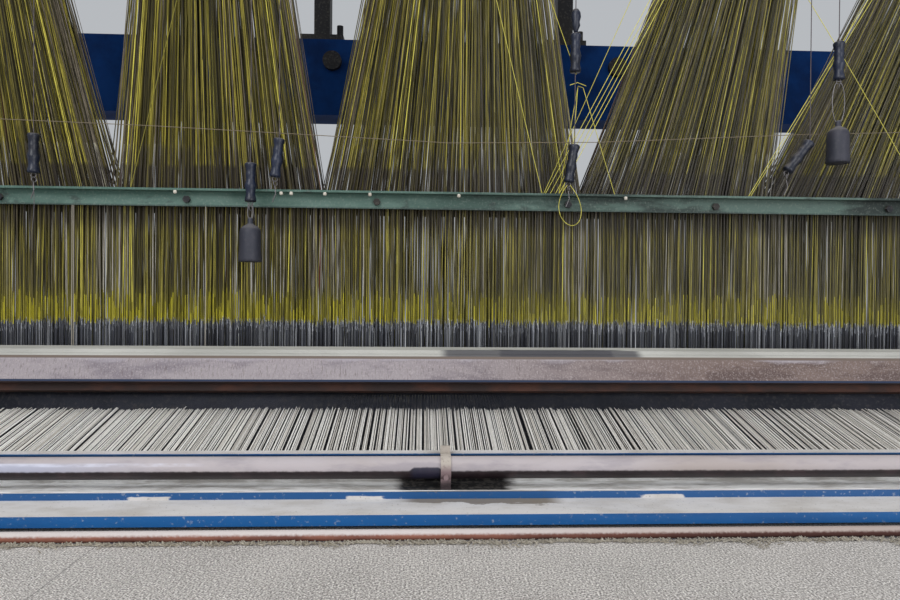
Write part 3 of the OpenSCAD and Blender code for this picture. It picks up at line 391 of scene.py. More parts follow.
def press_bar_finish():
    m, t = new_material("rusty_bar")
    right = mask(t, (place_on_part(t)[0], -0.1, 0.35))
    level = total(t, facing_up(t), ragged(t, 0.7, 3.8462, 5.0))
    rust = layer(t, "#95604f", "#6a4036", (mottle(t, 33.33, 6.0, (0.4, 1, 1)), 0.4, 0.65))
    rust = layer(t, rust, "#4b2a24", right)
    dust = layer(t, "#c6bdba", "#a99a93", right)
    close(t, layer(t, rust, dust, (level, 0.05, 0.6)), 0.85, 0.0, mottle(t, 3.3333), 0.0002)
    return m


def comber_rail_finish():
    m, t = new_material("comber_rail_enamel")
    x, y, z = place_on_part(t)
    patch = mottle(t, 181.8, 7.0, (0.6, 1, 2.5))
    paint = layer(t, "#46655b", "#142622", (x, -0.3, 0.45))
    paint = layer(t, paint, "#647f75", (patch, 0.5, 0.62), 0.6)
    paint = layer(t, paint, "#2b3a36", (mottle(t, 41.67, 7.0, (1, 1, 2)), 0.56, 0.68), 0.75)
    low = total(t, z, (patch, 0.006))
    paint = layer(t, paint, "#2a3b37", (low, 1.3315, 1.3285), 0.7)
    grain = mottle(t, 3.8462)
    paint = layer(t, paint, "#98a197", (grain, 0.52, 0.7), 0.22)
    dust = layer(t, "#d3cfbf", "#9ea392", (mottle(t, 33.33, 5.0, (0.4, 1, 1)), 0.35, 0.6))
    close(t, layer(t, paint, dust, (facing_up(t), 0.3, 0.7)), 0.6, 0.0, grain, 0.0002)
    return m


def strap_finish():
    m, t = new_material("strap_dust_and_painted_shade")
    z = place_on_part(t)[2]
    grain = mottle(t, 3.8462)
    colour = layer(t, "#836f71", "#b0a79d", (z, 0.945, 0.958))
    # painted shade: the strap's lower end, below the shaft, is darkened
    colour = layer(t, colour, "#3b3032", (z, 0.936, 0.929))
    colour = layer(t, colour, "#5d4b4c", (grain, 0.5, 0.7), 0.35)
    close(t, colour, 0.8, 0.0, grain, 0.0002)
    return m


MAT["cap_metal"] = cap_finish()
MAT["rail_paint"] = rail_finish()
MAT["maroon_paint"] = shaft_finish()
MAT["comber_rail_paint"] = comber_rail_finish()
MAT["strap_paint"] = strap_finish()
MAT["press_bar_rust"] = press_bar_finish()


# %% [markdown]
# ## Yarn, cord and wire
# Every strand is one thin tube between two points. A single Geometry Nodes tree puts a tube on
# each point, turns it along the point's own direction and stretches it to length, so a thousand
# cords cost one list of points. Each point also carries a tint that its finish reads.

# %% Strand finish and strand tree
def strand_finish(
    name, stops, rough=0.8, metal=0.0, sheen=0.3, soil=0.8, zones=(), grime="#46413a", gloss=0.1
):
    """Colour by each strand's tint, with patches of grime as dense as soil. A zone mixes in a
    second colour between two heights."""
    m, t = new_material(name)
    tint = add(t, "ShaderNodeAttribute", out=2, attribute_name="tint")
    colours = t.nodes.new("ShaderNodeValToRGB")
    while len(colours.color_ramp.elements) < len(stops):
        colours.color_ramp.elements.new(0.5)
    for e, (p, c) in zip(colours.color_ramp.elements, stops):
        e.position, e.color = p, rgb(c)
    t.links.new(tint, colours.inputs[0])
    colour = layer(t, colours.outputs[0], grime, (mottle(t, 16.67, 4.0, (4, 1, 0.25)), 0.4, 0.7), soil)
    for z0, z1, soft, c, amount in zones:
        colour = layer(t, colour, c, band(t, place_on_part(t)[2], z0, z1, soft), amount)
    close(t, colour, rough, metal, sheen=sheen, gloss=gloss)
    return m


def strand_tree():
    g = bpy.data.node_groups.new("strands", "GeometryNodeTree")
    face = g.interface
    face.new_socket("Points", in_out="INPUT", socket_type="NodeSocketGeometry")
    face.new_socket("Sides", in_out="INPUT", socket_type="NodeSocketInt")
    face.new_socket("Material", in_out="INPUT", socket_type="NodeSocketMaterial")
    face.new_socket("Mesh", in_out="OUTPUT", socket_type="NodeSocketGeometry")
    source = g.nodes.new("NodeGroupInput").outputs
    along = add(g, "GeometryNodeInputNamedAttribute", {0: "along"}, data_type="FLOAT_VECTOR")
    thick = add(g, "GeometryNodeInputNamedAttribute", {0: "thick"}, data_type="FLOAT")
    length = add(g, "ShaderNodeVectorMath", {0: along}, out=1, operation="LENGTH")
    unit = {"Vertices": source[1], "Radius": 1.0, "Depth": 1.0}
    tube = add(g, "GeometryNodeMeshCylinder", unit, fill_type="NONE")
    tube = add(g, "GeometryNodeTransform", {"Geometry": tube, "Translation": (0, 0, 0.5)})
    turn = add(g, "FunctionNodeAlignRotationToVector", {"Vector": along}, axis="Z")
    size = add(g, "ShaderNodeCombineXYZ", {0: thick, 1: thick, 2: length})
    many = add(
        g, "GeometryNodeInstanceOnPoints",
        {"Points": source[0], "Instance": tube, "Rotation": turn, "Scale": size},
    )
    real = add(g, "GeometryNodeRealizeInstances", {0: many})
    smooth = add(g, "GeometryNodeSetShadeSmooth", {0: real})
    done = add(g, "GeometryNodeSetMaterial", {"Geometry": smooth, "Material": source[2]})
    g.links.new(done, g.nodes.new("NodeGroupOutput").inputs[0])
    return g


TREE = strand_tree()


def grown(obj, tree, **values):
    """Runs the tree on the object once and keeps its result as a plain mesh."""
    mod = obj.modifiers.new("grow", "NODES")
    mod.node_group = tree
    for item in tree.interface.items_tree:
        if item.in_out == "INPUT" and item.name in values:
            mod[item.identifier] = values[item.name]
    obj.update_tag()
    bpy.context.view_layer.update()
    seen = obj.evaluated_get(bpy.context.evaluated_depsgraph_get())
    plain = bpy.data.meshes.new_from_object(seen)
    obj.modifiers.remove(mod)
    obj.data = plain
    return obj


def place(obj, body, replaces=()):
    if body:
        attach(obj, body)
    if replaces:
        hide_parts(*replaces)
    print(obj.name, len(obj.data.polygons), "faces on", body)
    return obj


def strands(name, starts, ends, radius, tint, mat, body, slot, replaces=(), sides=3):
    """One piece of many thin tubes, each from a point of starts to the same one of ends."""
    starts, ends = np.asarray(starts, float), np.asarray(ends, float)
    n = len(starts)
    mesh = bpy.data.meshes.new(name)
    mesh.from_pydata(starts.tolist(), [], [])
    for key, kind, data in (
        ("along", "FLOAT_VECTOR", (ends - starts).ravel()),
        ("thick", "FLOAT", np.broadcast_to(radius, n)),
        ("tint", "FLOAT", np.broadcast_to(tint, n)),
    ):
        field = "vector" if kind == "FLOAT_VECTOR" else "value"
        values = np.ascontiguousarray(data, np.float32)
        mesh.attributes.new(key, kind, "POINT").data.foreach_set(field, values)
    obj = bpy.data.objects.new(name, mesh)
    bpy.context.scene.collection.objects.link(obj)
    grown(obj, TREE, Sides=sides, Material=mat)
    return place(obj, body, replaces)


def chain(paths):
    """Start and end points of the pieces of many polylines, each (points, 3)."""
    paths = np.asarray(paths, float)
    return paths[:, :-1].reshape(-1, 3), paths[:, 1:].reshape(-1, 3)


def points(x, depth, z):
    """Points of the row frame; depth counts from the fell."""
    x, depth, z = np.broadcast_arrays(x, depth, z)
    return np.stack([x, FELL + depth, z], axis=-1)


# twisted cord, once yellow: its tint runs from greasy brown to clean yellow, a few are red, and
# all are dark where they pass the board
CORD = strand_finish(
    "harness_cord",
    [
        (0.0, "#2a2714"), (0.3, "#5b5528"), (0.52, "#897f3a"), (0.68, "#c5b950"),
        (0.8, "#7a7158"), (0.92, "#bdb8ac"), (0.98, "#ece261"), (1.0, "#8a3a30"),
    ],
    zones=[(1.305, 1.42, 0.035, "#37302f", 0.62), (1.09, 1.135, 0.05, "#9d9526", 0.36)],
)
# the same cord above the board, dirtier, and with darker colours that paint in the shade of the upper
# harness
FAN = strand_finish(
    "harness_cord_upper",
    [
        (0.0, "#1c190c"), (0.3, "#4b451b"), (0.5, "#80762d"), (0.7, "#bfb244"),
        (0.84, "#5d5440"), (0.94, "#7d7363"), (0.98, "#e6dc5c"), (1.0, "#5d3a2c"),
    ],
    soil=0.6,
    zones=[(1.30, 1.399, 0.010, "#332c2c", 0.8)],
    grime="#29251a",
)
# the knotted lower ends, cleaner and brighter
YELLOW = strand_finish("cord_ends", [(0.0, "#8d8524"), (0.5, "#b5ab2a"), (1.0, "#ddd23e")])
# drawn steel wire, grey, with bright tints that paint a glint here and there
WIRE = strand_finish(
    "heddle_wire", [(0.0, "#3c3e47"), (0.7, "#656872"), (0.9, "#c2c6ce"), (1.0, "#e4e6ea")],
    rough=0.4, metal=0.55, sheen=0.0, soil=0.5, gloss=0.5,
)
# spun cotton, off-white and without gloss
YARN = strand_finish("warp_yarn", [(0.0, "#d8d2c9"), (0.4, "#f0ece5"), (1.0, "#fffdf9")], soil=0.1)


# %% [markdown]
# ## Harness
# Each cord drops from its hook through the comber board to a wire heddle, and a thin lead weight
# keeps it straight. Above the board the cords run together into five bunches. The lower cords
# move with their group, and reach a little above the board so that they stay whole when lowered.

# %% Harness cords
# first and end block of columns, then the neck's left and right side at the head
BUNCHES = [
    (0, 24, -1.06, -0.975),
    (24, 43, -0.543, -0.462),
    (43, 67, 0.005, 0.066),
    (67, 85, 0.722, 0.778),
    (85, 110, 1.235, 1.40),
]
BLOCK = 4


def harness():
    """Each cord's place at the heddle (x, d), at the board (seat) and at the head (neck, neck_d)."""
    out = {}
    for g, (d0, d1) in GROUPS.items():
        i = np.tile(np.arange(COLUMNS), ROWS)
        row = np.repeat(np.arange(ROWS), COLUMNS)
        x = column_x(i) + random.uniform(-0.0026, 0.0026, i.size)
        d = d0 + (d1 - d0) * row / (ROWS - 1)
        neck = np.zeros(i.size)
        edge = np.zeros(i.size)
        for a, b, left, right in BUNCHES:
            inside = (i // BLOCK >= a) & (i // BLOCK < b)
            rank = (i[inside] / BLOCK - a) / (b - a)
            neck[inside] = left + (right - left) * rank
            edge[inside] = np.abs(rank - 0.5) * 2
        neck += random.normal(0, 0.014, i.size)
        tint = random.uniform(0, 0.8, i.size)
        outer = random.uniform(0, 1, i.size) < np.clip(edge - 0.8, 0, 1) * 2.5
        tint[outer] = random.uniform(0.84, 0.94, outer.sum())
        tint[random.uniform(0, 1, i.size) < 0.06] = 0.92
        tint[random.uniform(0, 1, i.size) < 0.03] = 0.98
        tint[random.uniform(0, 1, i.size) < 0.004] = 1.0
        neck_d = 0.40 + (d - 0.42) * 0.3 + random.normal(0, 0.004, i.size)
        seat = column_x(i) + random.uniform(-0.0026, 0.0026, i.size)
        out[g] = {"x": x, "seat": seat, "d": d, "neck": neck, "neck_d": neck_d, "tint": tint}
    return out


H = harness()
fan_a, fan_b, tints = [], [], []
for g in GROUPS:
    h = H[g]
    fan_a.append(points(h["seat"], h["d"], BOARD[1]))
    fan_b.append(points(h["neck"], h["neck_d"], HEAD_Z))
    tints.append(h["tint"])
fan_a, fan_b, tints = np.concatenate(fan_a), np.concatenate(fan_b), np.concatenate(tints)
thick = random.uniform(0.0006, 0.0011, len(fan_a))
thick[random.uniform(0, 1, len(fan_a)) < 0.03] = 0.0015
strands("harness_fan_cords", fan_a, fan_b, thick, tints, FAN, "frame", "harness_cord", ["harness_fans"])

for g in GROUPS:
    h = H[g]
    n = h["x"].size
    top = HEDDLE_TOP[g] + random.normal(0, 0.0035, n)
    foot = points(h["seat"], h["d"], BOARD[1])
    toward = points(h["neck"], h["neck_d"], HEAD_Z) - foot
    over = foot + toward * (LIFT / toward[:, 2:])
    if g == "b":
        over = foot
    knot = top + random.uniform(0.012, 0.06, n)
    a, b = chain(np.stack([points(h["x"], h["d"], knot), foot, over], axis=1))
    thick, tint = np.repeat(random.uniform(0.0007, 0.001, n), 2), np.repeat(h["tint"], 2)
    cord, wire = (f"lift_{g}", "harness_cord"), (f"lift_{g}", "worn_steel")
    strands(f"harness_cords_{g}", a, b, thick, tint, CORD, *cord, [f"harness_{g}"])
    thick, tint = random.uniform(0.0007, 0.0011, n), random.uniform(0, 1, n)
    a, b = (points(h["x"], h["d"], z) for z in (top, knot))
    strands(f"cord_ends_{g}", a, b, thick, tint, YELLOW, *cord)
    lean = random.normal(0, 0.0003, n)
    ends = [points(h["x"] + lean + s * 0.0007, h["d"], top) for s in (-1, 1)]
    lows = [points(h["x"] + s * 0.0003, h["d"], top - HEDDLE) for s in (-1, 1)]
    a, b, tint = np.concatenate(lows), np.concatenate(ends), random.uniform(0, 1, 2 * n)
    strands(f"heddle_wires_{g}", a, b, 0.00055, tint, WIRE, *wire)
    a = np.concatenate([points(h["x"] - s * 0.0011, h["d"], top + 0.003) for s in (-1, 1)])
    b = np.concatenate([
        points(h["x"] + s * 0.0011, h["d"], top - random.uniform(0.008, 0.02, n)) for s in (-1, 1)
    ])
    # the twisted tops take the brighter half of the tints, so more painted glints show there
    strands(f"heddle_twists_{g}", a, b, 0.0005, random.uniform(0.5, 1, 2 * n), WIRE, *wire)
    a = points(h["x"], h["d"], HEDDLE_TOP[g] - HEDDLE - LINGO)
    b, tint = points(h["x"], h["d"], top - HEDDLE), random.uniform(0, 0.5, n)
    strands(f"lingoes_{g}", a, b, 0.0013, tint, WIRE, *wire, sides=4)


# %% [markdown]
# ## Warp and reed
# The warp opens into two sheets from the fell to the heddles, closes at the lease and goes over
# the back rest to its beam. Each dent of the reed passes one bundle of three yarns.

# %% Warp yarns
def tangent(c1, r1, c2, r2, side):
    """The angle at which a line touches both circles; a negative radius crosses between them."""
    d = np.subtract(c2, c1)
    return math.atan2(d[1], d[0]) + side * math.acos((r1 - r2) / math.hypot(*d))


def arc(c, r, a0, a1, n):
    """n points of an arc, each (depth, height)."""
    return [(c[0] + r * math.cos(a), c[1] + r * math.sin(a)) for a in np.linspace(a0, a1, n)]


# middle of the yarn's height at the fell and at the lease
H0 = CLOTH_Z - 0.0008
YARN_R = 0.00082
# centre and radius of the yarn's way over the back rest and round the full warp beam
BACK, BACK_R = (1.0, H0 - 0.0562), 0.0562
BEAM, BEAM_R = (0.98, 0.43), 0.2012
leave = tangent(BACK, BACK_R, BEAM, BEAM_R, 1)
rear = arc(BACK, BACK_R, math.pi / 2, leave, 6) + arc(BEAM, BEAM_R, leave, leave - 0.14, 3)
gap_x = -HALF + np.arange(COLUMNS + 1) * PITCH
REPLACED = {"upper": ["warp"], "lower": ()}
LEASE_D = 0.70
# which point of a yarn its heddle holds
EYE = 4
for name, slope, turn_d, lift in (("upper", UP, 0.393, "lift_a"), ("lower", -DOWN, 0.445, "lift_b")):
    paths, tint = [], []
    # bundles lean together in pairs; k is a yarn's place in its bundle
    cling = np.where(np.arange(gap_x.size) % 2, -0.0006, 0.0006)
    cling = cling + random.normal(0, 0.00065, gap_x.size)
    for k in (-1, 0, 1):
        wide = k * 0.0014 + cling + random.normal(0, 0.0005, gap_x.size)
        thin = k * 0.00022
        wave = random.normal(0, 0.0016, gap_x.size)
        line = [
            points(gap_x + wide * 0.8, -0.004, H0),
            points(gap_x + wide, 0.12, H0 + slope * 0.12 + wave),
            points(gap_x + wide, 0.24, H0 + slope * 0.24 + wave),
            points(gap_x + thin, 0.34, H0 + slope * 0.34 + k * 0.0005),
            points(gap_x + thin, turn_d, H0 + slope * turn_d + k * 0.0005),
            points(gap_x + thin, LEASE_D, H0 + (0.003 if slope > 0 else -0.003)),
            points(gap_x + thin, 0.72, H0),
        ] + [points(gap_x + thin, d, z) for d, z in rear]
        paths.append(np.stack(line, axis=1))
        tint.append(random.uniform(0, 1, gap_x.size))
    paths, tint = np.concatenate(paths), np.concatenate(tint)
    # A sheet is cut at the heddle eyes into a front piece and a rear piece.
    at = [(0, FELL + d, H0) for d in (0, turn_d, LEASE_D)]
    for part, some, bodies, ends, stands_for in (
        (f"warp_{name}", paths[:, : EYE + 1], ("frame", lift), at[:2], REPLACED[name]),
        (f"warp_{name}_rear", paths[:, EYE:], (lift, "frame"), at[1:], ()),
    ):
        a, b = chain(some)
        yarn_tint = np.repeat(tint, some.shape[1] - 1)
        obj = strands(part, a, b, YARN_R, yarn_tint, YARN, None, "warp_yarn", stands_for)
        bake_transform(obj)


# %% Reed wires
def on_sley(y, z):
    """Depth and height of a point drawn on the upright sley, in metres."""
    cos, sin = math.cos(SLEY_BACK), math.sin(SLEY_BACK)
    return y * cos + z * sin, PIVOT_Z - y * sin + z * cos


def plates(name, boxes, mat, body, replaces=(), at=lambda y, z: (y, z)):
    """Many boxes in one piece, each (x0, x1, y0, y1, z0, z1); at gives their depth and height."""
    b = np.asarray(boxes, float)
    corner = [(0, 2, 4), (1, 2, 4), (1, 3, 4), (0, 3, 4), (0, 2, 5), (1, 2, 5), (1, 3, 5), (0, 3, 5)]
    depth, z = at(*(np.stack([b[:, c[k]] for c in corner], axis=1) for k in (1, 2)))
    verts = points(np.stack([b[:, c[0]] for c in corner], axis=1), depth, z).reshape(-1, 3)
    side = np.array([(0, 3, 2, 1), (4, 5, 6, 7), (0, 1, 5, 4), (1, 2, 6, 5), (2, 3, 7, 6), (3, 0, 4, 7)])
    faces = (side[None] + 8 * np.arange(len(b))[:, None, None]).reshape(-1, 4)
    mesh = bpy.data.meshes.new(name)
    mesh.from_pydata(verts.tolist(), [], faces.tolist())
    mesh.materials.append(mat)
    obj = bpy.data.objects.new(name, mesh)
    bpy.context.scene.collection.objects.link(obj)
    return place(obj, body, replaces)


# four flat wires per column; y and z are those of the upright sley
DENT = (-0.00195, -0.00065, 0.00065, 0.00195)
WIRE_HALF = 0.00024
blades = [
    (x + k - WIRE_HALF, x + k + WIRE_HALF, -0.0032, 0.0032, 0.722, 0.915) for x in gap_x for k in DENT
]
plates("reed_wires", blades, MAT["reed_steel"], "sley", ["reed"], on_sley)
rows = np.sort(np.concatenate([np.linspace(*GROUPS[g], ROWS) for g in GROUPS]))
edges = [0.3655] + [e for r in rows for e in (r - 0.0016, r + 0.0016)] + [0.4725]
slats = [(-1.2245, 1.2245, a, b, *BOARD) for a, b in zip(edges[::2], edges[1::2])]
slats += [(s * 1.19 - 0.034, s * 1.19 + 0.034, edges[0], edges[-1], *BOARD) for s in (-1, 1)]
plates("comber_slats", slats, MAT["board_wood"], "frame", ["comber_board"])


# %% [markdown]
# ## Cloth
# The cloth runs from the fell over the breast beam, round the take-up roller and onto its roll.
# It is one strip of grey weave with fine ribs along its length and old lint in them.

# %% Cloth
def cloth_finish():
    """Woven cotton, grey and matt; U counts across the cloth and V along it, both in metres."""
    m, t = new_material("grey_ribbed_cloth")
    uv = add(t, "ShaderNodeUVMap", uv_map="flat")
    u, v = (add(t, "ShaderNodeSeparateXYZ", {0: uv}, out=k) for k in range(2))
    # ribs are 4.2 mm apart; weft and twill are finer than a millimetre on the real cloth, and
    # are drawn at 1.6 and 2.6 mm so that they show
    wobble = mottle(t, 33.33, 3.0, uv=uv)
    waves = {"rib": (0.0042, total(t, u, (wobble, 0.004))), "weft": (0.0016, v)}
    waves["twill"] = (0.0026, total(t, u, (v, -1.0)))
    for name, (apart, at) in waves.items():
        turns = total(t, 0.0, (at, 2 * math.pi / apart))
        waves[name] = add(t, "ShaderNodeMath", {0: turns}, operation="SINE")
    rib = total(t, 0.5, (waves["rib"], 0.5))
    fuzz = mottle(t, 1.9231, 3.0, uv=uv)
    colour = layer(t, "#b4ada7", "#9b948e", (mottle(t, 111.1, 6.0, uv=uv), 0.35, 0.7))
    colour = layer(t, colour, "#5b5550", (rib, 0.35, -0.4), 0.65)
    colour = layer(t, colour, "#f4efe9", (fuzz, 0.5, 0.62))
    colour = layer(t, colour, "#3c3632", (fuzz, 0.49, 0.37), 0.95)
    colour = layer(t, colour, "#6a635d", (waves["twill"], 0.2, 0.9), 0.35)
    colour = layer(t, colour, "#5a534e", (mottle(t, 3.8462, 2.0, uv=uv), 0.64, 0.7), 0.6)
    # one dark thread runs down the cloth
    colour = layer(t, colour, "#4c4743", band(t, u, -0.3925, -0.3917, 0.0006), 0.75)
    height = total(t, rib, (waves["weft"], 0.25), (fuzz, 1.6))
    close(t, colour, 0.92, 0.0, height, 0.0005, sheen=0.4)
    return m


def cloth_path():
    """Depth and height along the cloth, from the fell to its roll."""
    mid = 0.0012
    nose, roller, roll = (-0.36, 0.858), (-0.33, 0.64), (-0.235, 0.33)
    rt, rc = 0.07 + mid, 0.14 + mid
    away = 2 * math.pi + tangent(roller, rt, roll, -rc, -1)
    line = [(d, H0) for d in np.linspace(-0.0045, -0.35, 60)]
    line += arc(nose, 0.04 + mid, math.pi / 2, math.pi, 14)
    line += arc(roller, rt, math.pi, away, 16)
    line += arc(roll, rc, away - math.pi, away - math.pi - 0.14, 3)
    return np.array(line)


def cloth():
    line = cloth_path()
    run = np.concatenate([[0], np.cumsum(np.linalg.norm(np.diff(line, axis=0), axis=1))])
    nx = 401
    xs = np.linspace(-HALF, HALF, nx)
    soft = np.convolve(random.normal(0, 1, nx + 30), np.hanning(16) / 4, "same")[15 : 15 + nx]
    bump = 0.00018 * soft[None, :] * np.ones((len(line), 1))
    x, d = np.meshgrid(xs, line[:, 0])
    z = np.repeat(line[:, 1:], nx, axis=1) + np.clip(bump, -0.0003, 0.0003)
    verts = points(x, d, z).reshape(-1, 3)
    k = np.arange(nx - 1)[None, :] + nx * np.arange(len(line) - 1)[:, None]
    faces = np.stack([k, k + nx, k + nx + 1, k + 1], axis=-1).reshape(-1, 4)
    mesh = bpy.data.meshes.new("cloth_strip")
    mesh.from_pydata(verts.tolist(), [], faces.tolist())
    mesh.polygons.foreach_set("use_smooth", np.ones(len(faces), bool))
    flat = np.stack([np.tile(xs, len(line)), np.repeat(run, nx)], axis=-1)
    flat_map = mesh.uv_layers.new(name="flat")
    loops = np.empty(len(mesh.loops), int)
    mesh.loops.foreach_get("vertex_index", loops)
    flat_map.data.foreach_set("uv", flat[loops].ravel().astype(np.float32))
    mesh.materials.append(cloth_finish())
    obj = bpy.data.objects.new("cloth_strip", mesh)
    bpy.context.scene.collection.objects.link(obj)
    place(obj, "frame", ["cloth"])
    print("cloth", round(float(run[-1]), 3), "m long")


cloth()

# %% [markdown]
# ## Hung grips and weights
# Six wires hang from the front cross beam, each with a beaded black grip; two carry a bell
# shaped iron weight on a wire loop below it. They are turned parts, so each is a lathe profile.

# %% Hung grips
def lathe(name, profile, centre, lean, mat, body, segments=28):
    """Profile (radius, height below the top) turned about a vertical line, then leaned about Y."""
    ring = np.linspace(0, 2 * math.pi, segments, endpoint=False)
    r, z = np.array(profile, float).T / 1000
    r, z = r[:, None], z[:, None]
    verts = np.stack([r * np.cos(ring), r * np.sin(ring), -z * np.ones(segments)], axis=-1)
    verts = verts.reshape(-1, 3)
    turn = np.array(Matrix.Rotation(math.radians(lean), 3, "Y"))
    verts = verts @ turn.T + np.array(centre)
    k = np.arange(segments)
    upper = segments * np.arange(len(r) - 1)[:, None]
    lower, after = upper + segments, (k + 1) % segments
    faces = np.stack([upper + k, lower + k, lower + after, upper + after], axis=-1).reshape(-1, 4)
    mesh = bpy.data.meshes.new(name)
    mesh.from_pydata(verts.tolist(), [], faces.tolist())
    mesh.polygons.foreach_set("use_smooth", np.ones(len(faces), bool))
    mesh.materials.append(mat)
    obj = bpy.data.objects.new(name, mesh)
    bpy.context.scene.collection.objects.link(obj)
    return place(obj, body)


# profiles in millimetres
GRIP = [
    (0.05, 0), (8.5, 0), (10.2, 2), (10.4, 4), (9.0, 10), (8.0, 15), (8.8, 20), (9.0, 23),
    (7.9, 28), (8.6, 33), (10.2, 39), (10.4, 42), (9.0, 48), (8.0, 53), (8.3, 58), (9.8, 64),
    (10.3, 67), (9.6, 70), (0.05, 70.5),
]
BELL = [
    (0.05, 0), (4.0, 0), (5.2, 3), (5.0, 10), (7.5, 13), (13.5, 16), (17.8, 21), (19.2, 29),
    (19.7, 60), (20.6, 74), (20.8, 79), (19.5, 80), (0.05, 80),
]
HOOK = [(0.05, 0), (5, 1), (8.5, 7), (9.5, 15), (7, 24), (8.2, 31), (5, 38), (3, 44), (0.05, 44.5)]
GRIP_H, HOOK_H = 0.0705, 0.046
# cast iron under old dark paint, half rubbed bare
BELL_IRON = grimy("bell_iron", "#2a2d38", "#393944", dust="#6a6768", rough=0.55, metal=0.2, bare=0.5)
# galvanised wire, dull: browned with age on its long run, greyer on the small rings
GALV = strand_finish(
    "galvanised_wire", [(0.0, "#4a4145"), (1.0, "#a5a4a6")],
    rough=0.4, metal=0.6, sheen=0.0, soil=0.3, gloss=0.5,
)
# each grip's x, the height of its top, its lean in degrees and its weight's top, 0 for none
HANGERS = {
    1: (-0.752, 1.444, 0, 0),
    2: (-0.369, 1.398, 0, 1.299),
    3: (-0.318, 1.443, 6, 0),
    4: (0.222, 1.441, 9, 0),
    5: (0.721, 1.642, 0, 1.495),
    6: (0.667, 1.454, 38, 0),
}
UPPER_GRIP = 1.645
HANG_D = 0.318
HANG_Y = FELL + HANG_D
PLASTIC = MAT["black_plastic"]


def route(x, depth, z):
    """Points of one line from lists of places; a single number holds for all of them."""
    return points(*(np.asarray(v, float) for v in (x, depth, z)))


def ring_path(centre, r, n=14, squeeze=1.0, tilt=0.0):
    a = np.linspace(0, 2 * math.pi, n + 1)
    x, z = r * squeeze * np.cos(a), r * np.sin(a)
    return points(centre[0] + x * math.cos(tilt), centre[1] + x * math.sin(tilt), centre[2] + z)


for k, (x, top, lean, bell) in HANGERS.items():
    body = f"hang_{k}"
    lathe(f"grip_{k}", GRIP, (x, HANG_Y, top), lean, PLASTIC, body)
    # the grip's lower end, with the two small wire rings below it
    low_x = x - math.sin(math.radians(lean)) * 0.0725
    low_z = top - GRIP_H * math.cos(math.radians(lean))
    paths = [
        route([x, x], HANG_D, [BEAM_Z, top - 0.002]),
        ring_path((low_x, HANG_D, low_z - 0.0035), 0.0045),
        ring_path((low_x + 0.001, HANG_D, low_z - 0.011), 0.0045, tilt=1.0),
    ]
    if bell:
        middle, half = (low_z + bell) / 2 - 0.004, (low_z - bell) / 2 + 0.002
        paths.append(ring_path((x, HANG_D, middle), half, squeeze=0.3))
        lathe(f"bell_{k}", BELL, (x, HANG_Y, bell), 0, BELL_IRON, body)
    else:
        tip_x = low_x + np.array([0, 0.002, -0.004])
        tip_z = low_z - np.array([0.014, 0.03, 0.045])
        paths.append(route(tip_x, HANG_D + np.array([0, -0.002, 0]), tip_z))
    starts = np.concatenate([q[:-1] for q in paths])
    ends = np.concatenate([q[1:] for q in paths])
    tone = np.r_[0.1, np.full(len(starts) - 1, 0.45)]
    shown = "worn_steel", [f"hanger_{k}"]
    strands(f"hanger_wire_{k}", starts, ends, 0.0009, tone, GALV, body, *shown, sides=6)


# the fourth wire carries a second grip with a hook on it
for name, profile, z in (("grip_4_upper", GRIP, UPPER_GRIP), ("hook_4", HOOK, UPPER_GRIP + HOOK_H)):
    lathe(name, profile, (HANGERS[4][0], HANG_Y, z), 0, PLASTIC, "hang_4")

# %% [markdown]
# ## Tied cords
# Where harness cords broke, new bright ones were tied in and still stand away from the fans. A
# thin string is tied across all the fans, and short cotton knots sit on the comber rail.

# %% Tied cords and knots
# new cord is a clear yellow with hardly any grime, cotton string a pale brown
BRIGHT = strand_finish("new_cord", [(0.0, "#8d8530"), (0.4, "#b9b044"), (1.0, "#e6dd66")], soil=0.15)
PALE = strand_finish("cotton_string", [(0.0, "#7c705c"), (1.0, "#b9b2a4")], soil=0.3)
# x at the comber board and x at the cross beam
TIED = [
    (0.170, -0.106), (0.171, 0.653), (0.174, 0.753), (0.183, 0.762), (0.193, 0.766),
    (0.200, 0.780), (0.572, 1.237), (0.568, 1.222), (-0.599, -0.330),
]
# where they pass the board's front edge and the beam, in depth, and the knot over the board
SEAT_D, TIE_D, SEAT_Z = 0.356, 0.335, 1.353
a = [points(x, SEAT_D, SEAT_Z) for x, _ in TIED]
b = [points(x, TIE_D, BEAM_Z) for _, x in TIED]
# the ties round the fourth grip, and one long cord that is bent by the fifth wire
routes = [
    route([-0.090, 0.225], [TIE_D, 0.322], [BEAM_Z, 1.572]),
    route([0.228, 0.241, 0.310], [0.322, TIE_D, SEAT_D], [1.551, 1.552, SEAT_Z]),
    route([0.228, 0.231, 0.201], [0.322, TIE_D, SEAT_D], [1.551, 1.553, SEAT_Z]),
    route([0.229, 0.231, 0.223, 0.207], [0.322, TIE_D, 0.336, SEAT_D], [1.551, 1.553, 1.435, SEAT_Z]),
    route([0.206, 0.7465, 0.925], [TIE_D, 0.345, SEAT_D], [BEAM_Z, 1.625, SEAT_Z]),
    route([0.213, 0.227, 0.243], 0.321, [1.552, 1.557, 1.551]),
]
